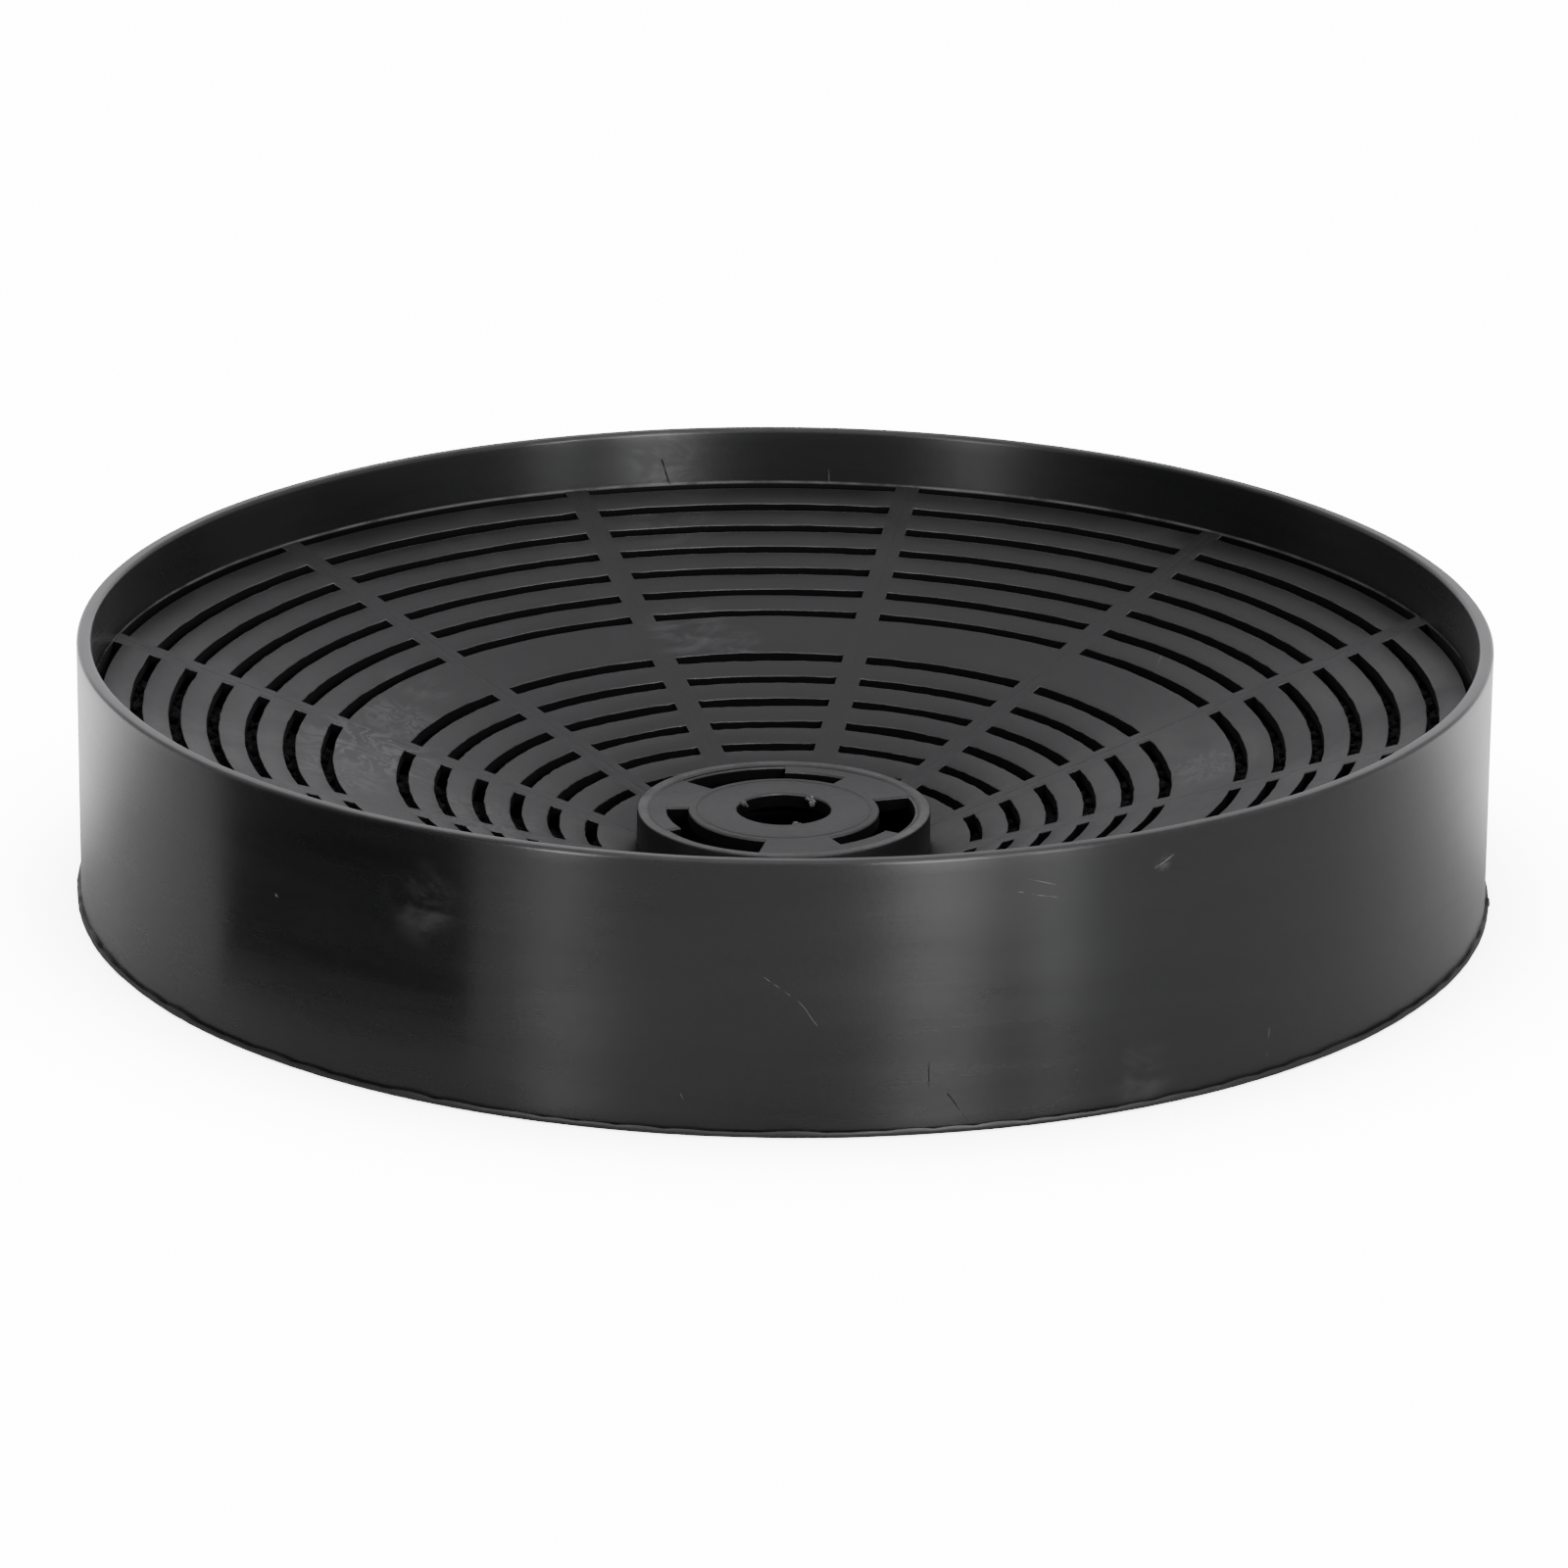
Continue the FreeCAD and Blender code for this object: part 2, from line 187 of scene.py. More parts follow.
def add_rows(outline: np.ndarray, longest: float) -> np.ndarray:
    """Divides the long runs of a closed outline evenly.

    Args:
        outline: Radius and height of each outline point, in metres.
        longest: Longest run that is left whole, in metres.

    Returns:
        The outline with the added points.
    """
    runs = []
    for here, there in zip(outline, np.roll(outline, -1, 0)):
        parts = max(1, math.ceil(float(np.linalg.norm(there - here)) / longest))
        runs.append(here + (there - here) * (np.arange(parts) / parts)[:, None])
    return np.concatenate(runs)


def rounded_fall(distance: np.ndarray, rounding: float) -> np.ndarray:
    """How far a rounded edge falls below its face: b - sqrt(b squared - (b - t) squared).

    Args:
        distance: Distance t from the opening.
        rounding: Radius b of the edge; the face is level where t is larger.

    Returns:
        The fall, in the unit of both arguments.
    """
    near = np.minimum(distance, rounding)
    return rounding - np.sqrt(np.maximum(rounding**2 - (rounding - near) ** 2, 0.0))


def put_in_scene(name: str, data: bpy.types.ID) -> bpy.types.Object:
    """Makes an object for a mesh, a camera or a light, and puts it into the scene at the origin.

    Args:
        name: Name of the object.
        data: What it shows.

    Returns:
        The new object.
    """
    made = bpy.data.objects.new(name, data)
    bpy.context.scene.collection.objects.link(made)
    return made


@dataclass
class Shell:
    """Points and faces gathered for one piece.

    Attributes:
        points: Sets of points, in metres.
        faces: Sets of faces, as point numbers.
        edge: For each point, how far it lies on a rounded edge, from 0 to 1; the colour is lighter there,
            partly as wear, partly as painted highlight.
        recess_shade: For each face, how much painted shade it takes, 1 if it lines a slot, a bore or the
            inside.
        count: Number of points so far.
    """

    slide_rate: ClassVar[float] = 150.0

    points: list[np.ndarray] = field(default_factory=list)
    faces: list[np.ndarray] = field(default_factory=list)
    edge: list[np.ndarray] = field(default_factory=list)
    recess_shade: list[np.ndarray] = field(default_factory=list)
    count: int = 0

    def add(
        self,
        points: np.ndarray,
        faces: np.ndarray,
        edge: np.ndarray | None = None,
        recess_shade: np.ndarray | float = 0.0,
    ) -> None:
        """Takes in a set of points and faces, and leaves out the points that no face uses.

        Args:
            points: Points, in metres, in an array of any shape whose last direction is x, y, z.
            faces: Faces as point numbers, in an array of any shape.
            edge: How far each point lies on a rounded edge, from 0 to 1; the colour is lighter there, partly
                as wear, partly as painted highlight.
            recess_shade: For each face, how much painted shade it takes, 1 if it lines a slot, a bore or the
                inside.
        """
        points = points.reshape(-1, 3)
        faces = faces.reshape(-1, faces.shape[-1])
        used, renumbered = np.unique(faces, return_inverse=True)
        amount = np.zeros(len(points)) if edge is None else np.broadcast_to(edge, points.shape[:1])
        self.points.append(points[used])
        self.edge.append(amount[used])
        self.faces.append(renumbered.reshape(faces.shape) + self.count)
        self.recess_shade.append(np.broadcast_to(recess_shade, len(faces)))
        self.count += len(used)

    def add_slab(
        self,
        top: np.ndarray,
        bottom: np.ndarray,
        keep: np.ndarray | None = None,
        ring: bool = True,
        edge: np.ndarray | None = None,
        inside: tuple[float, float, float] = (0.0, 1.0, 1.0),
    ) -> None:
        """Adds a solid between two grids of points, with walls round every hole and rim.

        Args:
            top: Upper grid, rows from the axis outwards and columns round it.
            bottom: Lower grid of the same shape.
            keep: Which gaps of the grid are solid; all of them if None.
            ring: Whether the last column joins the first.
            edge: How far each upper point lies on a rounded edge.
            inside: How much painted shade the upper face, the lower face and the walls take.
        """
        rows, cols = top.shape[:2]
        faces = grid_faces(rows, cols, ring)
        upper = faces.reshape(-1, 4) if keep is None else faces[keep]
        shift = rows * cols
        rim = free_edges(upper)
        walls = np.stack([rim[:, 1], rim[:, 0], rim[:, 0] + shift, rim[:, 1] + shift], -1)
        points = np.concatenate([top.reshape(-1, 3), bottom.reshape(-1, 3)])
        amount = None if edge is None else np.concatenate([edge.ravel(), np.zeros(shift)])
        recess_shade = np.repeat(inside, [len(upper), len(upper), len(walls)])
        self.add(points, np.concatenate([upper, upper[:, ::-1] + shift, walls]), amount, recess_shade)

    def add_revolved(
        self,
        outline: np.ndarray,
        cols: int,
        radial: Unevenness | None = None,
        upward: Unevenness | None = None,
        edge: np.ndarray | None = None,
        recess_shade: np.ndarray | float = 0.0,
    ) -> None:
        """Adds a closed outline carried round the axis.

        The outline runs outwards along its top and inwards along its bottom.

        Args:
            outline: Radius and height of each outline point, in metres.
            cols: Number of steps round the axis.
            radial: Unevenness added to the radius.
            upward: Unevenness added to the height.
            edge: How far each outline point lies on a rounded edge.
            recess_shade: How much painted shade each run of the outline takes.
        """
        angle = (np.arange(cols) * TURN / cols)[None]
        radius, height = outline[:, :1], outline[:, 1:]
        if radial is not None:
            radius = radius + radial.at(angle, height * self.slide_rate)
        if upward is not None:
            height = height + upward.at(angle)
        amount = None if edge is None else np.repeat(edge, cols)
        lined = np.repeat(np.broadcast_to(recess_shade, len(outline)), cols)
        faces = grid_faces(len(outline), cols, loop=True)
        self.add(on_circle(radius, angle, height), faces, amount, lined)

    def add_lump(self, centre: np.ndarray, half_sizes: np.ndarray, seed: int, roughness: float) -> None:
        """Adds a small torn lump: an ellipsoid whose radius wanders from point to point.

        Args:
            centre: Middle of the lump, in metres.
            half_sizes: Half its size along x, y and z, in metres.
            seed: Number that fixes its shape.
            roughness: Share of the radius that wanders.
        """
        rng = np.random.default_rng(seed)
        rows, cols = 9, 14
        tilt = np.linspace(0.0, math.pi, rows)[:, None]
        angle = (np.arange(cols) * TURN / cols)[None]
        swell = 1.0 + roughness * rng.uniform(-1.0, 0.6, (rows, cols))
        swell[0], swell[-1] = swell[0].mean(), swell[-1].mean()
        ball = on_circle(np.sin(tilt), angle, np.cos(tilt))
        points = centre + ball * swell[..., None] * half_sizes
        self.add(points, grid_faces(rows, cols), np.full(rows * cols, 0.7))

    def make_piece(self, name: str, weld: bool = False, crease: float = 42.0) -> bpy.types.Object:
        """Puts everything gathered into one mesh object at the origin.

        Args:
            name: Name of the piece.
            weld: Whether points in the same place become one, as at a pole.
            crease: Angle in degrees above which an edge stays sharp.

        Returns:
            The new object.
        """
        mesh = bpy.data.meshes.new(name)
        points = np.concatenate(self.points).astype(np.float32)
        corners = np.concatenate([f.ravel() for f in self.faces]).astype(np.int32)
        sides = np.concatenate([np.full(len(f), f.shape[1]) for f in self.faces])
        starts = np.concatenate([[0], np.cumsum(sides)[:-1]]).astype(np.int32)
        mesh.vertices.add(len(points))
        mesh.vertices.foreach_set("co", points.ravel())
        mesh.loops.add(len(corners))
        mesh.loops.foreach_set("vertex_index", corners)
        mesh.polygons.add(len(starts))
        mesh.polygons.foreach_set("loop_start", starts)
        mesh.update(calc_edges=True)
        # Stores the lightening of rounded edges, partly wear and partly painted highlight, and the painted
        # shade of faces that line slots, bores and the inside.
        wear_and_highlight = mesh.attributes.new("edge_wear_and_highlight", "FLOAT", "POINT")
        wear_and_highlight.data.foreach_set("value", np.concatenate(self.edge).astype(np.float32))
        lined = mesh.attributes.new("recess_shade", "FLOAT", "FACE")
        lined.data.foreach_set("value", np.concatenate(self.recess_shade).astype(np.float32))
        if weld:
            work = bmesh.new()
            work.from_mesh(mesh)
            bmesh.ops.remove_doubles(work, verts=work.verts, dist=1e-7)
            work.to_mesh(mesh)
            work.free()
        mesh.validate()
        mesh.shade_smooth()
        mesh.set_sharp_from_angle(angle=math.radians(crease))
        return put_in_scene(name, mesh)


def mount(piece: bpy.types.Object, slot: str, material: bpy.types.Material, *nodes: str) -> None:
    """Dresses a piece, sets it on the body and lets it stand for its CAD nodes.

    Args:
        piece: The finished piece.
        slot: Not used.
        material: Its material.
        nodes: CAD nodes that it stands for.
    """
    piece.data.materials.clear()
    piece.data.materials.append(material)
    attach(piece, "root")
    if nodes:
        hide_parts(*nodes)
    faces = len(piece.data.polygons)
    LOG.info("%s: %d faces, stands for %s", piece.name, faces, ", ".join(nodes) or "nothing")


# ---------------------------------------------------------------- finishes


@dataclass
class Bench:
    """A node tree with short ways to add and join nodes."""

    tree: bpy.types.NodeTree

    def node(self, kind: str, inputs: dict | None = None, **settings: object) -> bpy.types.Node:
        """Adds a node, sets its options, and sets or joins its inputs.

        Args:
            kind: Blender's name for the node type.
            inputs: Value or output socket for each input name or number.
            settings: Options of the node.

        Returns:
            The new node.
        """
        made = self.tree.nodes.new(kind)
        for key, value in settings.items():
            setattr(made, key, value)
        for key, value in (inputs or {}).items():
            if isinstance(value, bpy.types.NodeSocket):
                self.tree.links.new(value, made.inputs[key])
            else:
                made.inputs[key].default_value = value
        return made

    def math(self, operation: str, *values: object, clamp: bool = False) -> bpy.types.NodeSocket:
        """Adds a Math node and gives its output.

        Args:
            operation: Blender's name for the sum.
            values: Numbers or sockets, in order.
            clamp: Whether the result stays from 0 to 1.

        Returns:
            The result's socket.
        """
        made = self.node("ShaderNodeMath", dict(enumerate(values)), operation=operation, use_clamp=clamp)
        return made.outputs[0]

    def vector(self, operation: str, *values: object) -> bpy.types.NodeSocket:
        """Adds a Vector Math node and gives its output, which is a number for some sums.

        Args:
            operation: Blender's name for the sum.
            values: Vectors or sockets, in order; the second value of SCALE is its factor.

        Returns:
            The result's socket.
        """
        keys = (0, "Scale") if operation == "SCALE" else (0, 1)
        made = self.node("ShaderNodeVectorMath", dict(zip(keys, values)), operation=operation)
        gives_number = operation in ("LENGTH", "DISTANCE", "DOT_PRODUCT")
        return made.outputs["Value" if gives_number else "Vector"]

    def remap(self, value: object, low: float, high: float, to_low: object, to_high: object) -> object:
        """Adds a Map Range node that eases between two limits and gives its output."""
        made = self.node(
            "ShaderNodeMapRange",
            {0: value, 1: low, 2: high, 3: to_low, 4: to_high},
            interpolation_type="SMOOTHSTEP",
        )
        return made.outputs[0]

    def noise(
        self, place: object, scale: object, detail: float = 2.0, rough: float = 0.5, warp: float = 0.0
    ) -> bpy.types.NodeSocket:
        """Adds a Noise Texture and gives its value."""
        inputs = {"Vector": place, "Scale": scale, "Detail": detail, "Roughness": rough, "Distortion": warp}
        return self.node("ShaderNodeTexNoise", inputs).outputs[0]

    def sway(self, place: object, scale: float, reach: float) -> bpy.types.NodeSocket:
        """Adds a noise that sways each of x, y and z by itself, by up to half the reach either way."""
        colour = self.node("ShaderNodeTexNoise", {"Vector": place, "Scale": scale}).outputs["Color"]
        return self.vector("SCALE", self.vector("SUBTRACT", colour, (0.5, 0.5, 0.5)), reach)

    def blend(self, amount: object, first: object, second: object) -> bpy.types.NodeSocket:
        """Mixes two colours by an amount and gives the result."""
        made = self.node("ShaderNodeMix", {0: amount, 6: first, 7: second}, data_type="RGBA")
        return made.outputs[2]

    def strongest(self, marks: dict, name: str, mark: bpy.types.NodeSocket) -> None:
        """Lays a mark over those of the same name: the larger amount counts."""
        marks[name] = self.math("MAXIMUM", marks[name], mark) if name in marks else mark

    def place(self) -> bpy.types.NodeSocket:
        """Gives the place on the piece, in its own coordinates."""
        return self.node("ShaderNodeTexCoord").outputs["Object"]

    def stored(self, name: str) -> bpy.types.NodeSocket:
        """Gives an amount that is stored on the mesh."""
        return self.node("ShaderNodeAttribute", attribute_name=name).outputs["Fac"]

    def join(self, source: bpy.types.NodeSocket, target: bpy.types.NodeSocket) -> None:
        """Joins an output to an input."""
        self.tree.links.new(source, target)

    def raise_surface(self, shader: bpy.types.Node, height: object, strength: float, depth: float) -> None:
        """Feeds a height to the shader's normal through a Bump node; the depth is in metres."""
        bump = self.node("ShaderNodeBump", {"Strength": strength, "Distance": depth, "Height": height})
        self.join(bump.outputs[0], shader.inputs["Normal"])


def open_material(name: str) -> tuple[bpy.types.Material, Bench, bpy.types.Node]:
    """Makes a material and opens its node tree.

    Args:
        name: Name of the material.

    Returns:
        The material, a bench for its tree, and its shader.
    """
    material = bpy.data.materials.new(name)
    material.use_nodes = True
    bench = Bench(material.node_tree)
    return material, bench, bench.tree.nodes["Principled BSDF"]


def grey(level: float, blue: float | None = None) -> tuple[float, float, float, float]:
    """A grey as red, green, blue and alpha, with its own blue if one is given."""
    return (level, level, level if blue is None else blue, 1.0)


class SurfaceEffects:
    """Shared effects, each made once as a shader node group."""

    made: dict[str, bpy.types.NodeTree] = {}

    @classmethod
    def start(cls, name: str, inputs: dict[str, float | None], output: str) -> tuple[Bench, list, object]:
        """Opens a new group with its sockets.

        Args:
            name: Name of the group.
            inputs: Default of each input; None makes it a vector.
            output: Name of the output.

        Returns:
            The bench, what each input gives, and the socket that takes the result.
        """
        tree = bpy.data.node_groups.new(name, "ShaderNodeTree")
        for key, value in inputs.items():
            kind = "NodeSocketVector" if value is None else "NodeSocketFloat"
            socket = tree.interface.new_socket(key, in_out="INPUT", socket_type=kind)
            if value is not None:
                socket.default_value = value
        tree.interface.new_socket(output, in_out="OUTPUT", socket_type="NodeSocketFloat")
        cls.made[name] = tree
        given = tree.nodes.new("NodeGroupInput")
        result = tree.nodes.new("NodeGroupOutput")
        return Bench(tree), [given.outputs[key] for key in inputs], result.inputs[output]

    @classmethod
    def make_all(cls) -> None:
        """Makes every group once."""
        cls.make_turned_marks()
        cls.make_mould_grain()
        cls.make_hair_scratches()
        cls.make_dust_specks()
        cls.make_edge_wear_and_highlights()
        cls.make_smudges()
        cls.make_single_scratch()
        cls.make_scuff_patch()
        cls.make_flow_feather()

    @classmethod
    def make_turned_marks(cls) -> None:
        """Fine lines round the axis, left by the turned mould.

        Noise is read at (direction from the axis times a small number, (distance from the axis
        plus height) times a large number), so it runs round the axis and changes quickly across.
        """
        bench, (place, around, across), result = cls.start(
            "turned_marks", {"Vector": None, "Around": 3.0, "Across": 900.0}, "Value"
        )
        flat = bench.vector("MULTIPLY", place, (1, 1, 0))
        turn = bench.vector("SCALE", bench.vector("NORMALIZE", flat), around)
        height = bench.node("ShaderNodeSeparateXYZ", {0: place}).outputs["Z"]
        away = bench.math("ADD", bench.vector("LENGTH", flat), height)
        lift = bench.node("ShaderNodeCombineXYZ", {"Z": bench.math("MULTIPLY", away, across)}).outputs[0]
        bench.join(bench.noise(bench.vector("ADD", turn, lift), 1.0, 4.0, 0.62), result)

    @classmethod
    def make_mould_grain(cls) -> None:
        """Fine grain of a moulded face: two noises added, one four times finer."""
        bench, (place, scale), result = cls.start("mould_grain", {"Vector": None, "Scale": 1500.0}, "Height")
        coarse = bench.noise(place, scale, 3.0, 0.6)
        fine = bench.noise(place, bench.math("MULTIPLY", scale, 4.0), 2.0, 0.5)
        fine = bench.math("MULTIPLY", fine, 0.35)
        bench.join(bench.math("ADD", bench.math("MULTIPLY", coarse, 0.65), fine), result)

    @classmethod
    def make_hair_scratches(cls) -> None:
        """Hairline scratches: thin contour lines of a slow noise, broken up by a second noise."""
        bench, (place, scale, width, share), result = cls.start(
            "hair_scratches", {"Vector": None, "Scale": 30.0, "Width": 0.004, "Share": 0.25}, "Mask"
        )
        slow = bench.noise(place, scale, 1.0, 0.4)
        away = bench.math("ABSOLUTE", bench.math("SUBTRACT", slow, 0.5))
        line = bench.math("SUBTRACT", 1.0, bench.math("DIVIDE", away, width), clamp=True)
        patches = bench.noise(place, bench.math("MULTIPLY", scale, 2.7), 2.0, 0.5)
        limit = bench.math("SUBTRACT", 0.78, bench.math("MULTIPLY", share, 0.6))
        shown = bench.math("MULTIPLY", bench.math("SUBTRACT", patches, limit), 12.0, clamp=True)
        bench.join(bench.math("MULTIPLY", line, shown), result)

    @classmethod
    def make_dust_specks(cls) -> None:
        """Scattered specks: a few cells of a cell pattern, each with a small dot at its middle."""
        bench, (place, scale, size, share), result = cls.start(
            "dust_specks", {"Vector": None, "Scale": 120.0, "Size": 0.05, "Share": 0.05}, "Mask"
        )
        cells = bench.node("ShaderNodeTexVoronoi", {"Vector": place, "Scale": scale})
        lot = bench.node("ShaderNodeSeparateColor", {0: cells.outputs["Color"]})
        chosen = bench.math("GREATER_THAN", lot.outputs[0], bench.math("SUBTRACT", 1.0, share))
        reach = bench.math("MULTIPLY", size, bench.math("ADD", lot.outputs[1], 0.35))
        dot = bench.math("LESS_THAN", cells.outputs["Distance"], reach)
        bench.join(bench.math("MULTIPLY", chosen, dot), result)

    @classmethod
    def make_edge_wear_and_highlights(cls) -> None:
        """Lighter rounded edges, partly wear and partly painted highlight, stronger in some places than
        others.
        """
        bench, (place, scale), result = cls.start("edge_wear_and_highlights", {"Vector": None, "Scale": 160.0}, "Mask")
        uneven = bench.remap(bench.noise(place, scale, 4.0, 0.6), 0.3, 0.65, 0.25, 1.0)
        bench.join(bench.math("MULTIPLY", bench.stored("edge_wear_and_highlight"), uneven, clamp=True), result)

    @classmethod
    def make_smudges(cls) -> None:
        """Cloudy patches where the plastic flowed or was handled: warped noise above a limit."""
        bench, (place, scale, share), result = cls.start(
            "smudges", {"Vector": None, "Scale": 22.0, "Share": 0.4}, "Mask"
        )
        limit = bench.math("SUBTRACT", 0.72, bench.math("MULTIPLY", share, 0.3))
        above = bench.math("SUBTRACT", bench.noise(place, scale, 6.0, 0.6, warp=1.4), limit)
        bench.join(bench.math("MULTIPLY", above, 5.0, clamp=True), result)

    @classmethod
    def make_single_scratch(cls) -> None:
        """One scratch: 1 - distance to the line between its ends / its width, a little wavy.

        The nearest point of the line is start + (end - start) x the clamped share along it.
        """
        bench, (place, start, end, width), result = cls.start(
            "single_scratch", {"Vector": None, "Start": None, "End": None, "Width": 0.0001}, "Mask"
        )
        moved = bench.vector("ADD", place, bench.sway(place, 260.0, 0.0006))
        line = bench.vector("SUBTRACT", end, start)
        from_start = bench.vector("SUBTRACT", moved, start)
        along = bench.vector("DOT_PRODUCT", from_start, line)
        share = bench.math("DIVIDE", along, bench.vector("DOT_PRODUCT", line, line), clamp=True)
        away = bench.vector("DISTANCE", from_start, bench.vector("SCALE", line, share))
        near = bench.math("SUBTRACT", 1.0, bench.math("DIVIDE", away, width), clamp=True)
        bench.join(bench.math("MULTIPLY", near, bench.remap(share, 0.75, 1.0, 1.0, 0.35)), result)

    @classmethod
    def make_scuff_patch(cls) -> None:
        """One scuffed patch: warped noise, drawn out round the axis, that fades out at its reach.

        The noise is read at v - 0.5 t (v . t), with v the place from the middle of the patch and t
        the direction round the axis there.
        """
        bench, (place, centre, reach, scale), result = cls.start(
            "scuff_patch", {"Vector": None, "Centre": None, "Reach": 0.01, "Scale": 120.0}, "Mask"
        )
        local = bench.vector("SUBTRACT", place, centre)
        side = bench.vector("NORMALIZE", bench.vector("CROSS_PRODUCT", (0, 0, 1), centre))
        along = bench.vector("DOT_PRODUCT", local, side)
        drawn = bench.vector("SCALE", side, bench.math("MULTIPLY", along, -0.5))
        drawn = bench.vector("ADD", local, drawn)
        marks = bench.remap(bench.noise(drawn, scale, 6.0, 0.6, warp=1.2), 0.42, 0.66, 0.0, 1.0)
        share = bench.math("DIVIDE", bench.vector("LENGTH", local), reach)
        bench.join(bench.math("MULTIPLY", marks, bench.remap(share, 0.25, 1.0, 1.0, 0.0)), result)

    @classmethod
    def make_flow_feather(cls) -> None:
        """A feather of flow lines: noise that changes quickly round its middle and slowly outwards.

        The noise is read at 2.6 v / |v| plus Scale times v, with v the place from the middle, bent
        by a second noise in the first term.
        """
        bench, (place, centre, reach, scale), result = cls.start(
            "flow_feather", {"Vector": None, "Centre": None, "Reach": 0.01, "Scale": 60.0}, "Mask"
        )
        local = bench.vector("SUBTRACT", place, centre)
        bent = bench.vector("ADD", local, bench.sway(place, 170.0, 0.009))
        facing = bench.vector("SCALE", bench.vector("NORMALIZE", bent), 2.6)
        read = bench.vector("ADD", facing, bench.vector("SCALE", local, scale))
        strokes = bench.remap(bench.noise(read, 1.7, 2.0, 0.5), 0.46, 0.58, 0.0, 1.0)
        share = bench.math("DIVIDE", bench.vector("LENGTH", local), reach)
        bench.join(bench.math("MULTIPLY", strokes, bench.remap(share, 0.3, 1.0, 1.0, 0.0)), result)


class ScratchKind(Enum):
    """What a single scratch does to the plastic."""

    GRAZE = "whitened"
    CUT = "cut"


class ScuffKind(Enum):
    """The shared effect that draws a scuffed patch."""

    CLOUDY = "scuff_patch"
    FEATHERY = "flow_feather"


@dataclass(frozen=True)
class Scratch:
    """One scratch on a round face.

    Attributes:
        radius: Radius of the face, in millimetres.
        start: Angle in degrees and height in millimetres of one end.
        end: The same for the other end.
        width: Width, in millimetres.
        kind: Whether it is a whitened graze or a dark cut.
    """

    radius: float
    start: tuple[float, float]
    end: tuple[float, float]
    width: float
    kind: ScratchKind = ScratchKind.GRAZE

    def ends(self) -> tuple[np.ndarray, np.ndarray]:
        """Both ends as points, in metres."""
        first, last = (
            on_circle(self.radius * MM, math.radians(angle), height * MM)
            for angle, height in (self.start, self.end)
        )
        return first, last


@dataclass(frozen=True)
class Scuff:
    """One scuffed patch.

    Attributes:
        radius: Distance of its middle from the axis, in millimetres.
        angle: Angle of its middle, in degrees.
        height: Height of its middle, in millimetres.
        reach: Distance at which it has faded out, in millimetres.
        scale: Fineness of its marks.
        strength: How plainly it shows, from 0 to 1.
        kind: Whether it is a cloudy patch or a feather of flow lines.
    """

    radius: float
    angle: float
    height: float
    reach: float
    scale: float
    strength: float
    kind: ScuffKind = ScuffKind.CLOUDY

    def middle(self) -> np.ndarray:
        """Its middle as a point, in metres."""
        return on_circle(self.radius * MM, math.radians(self.angle), self.height * MM)


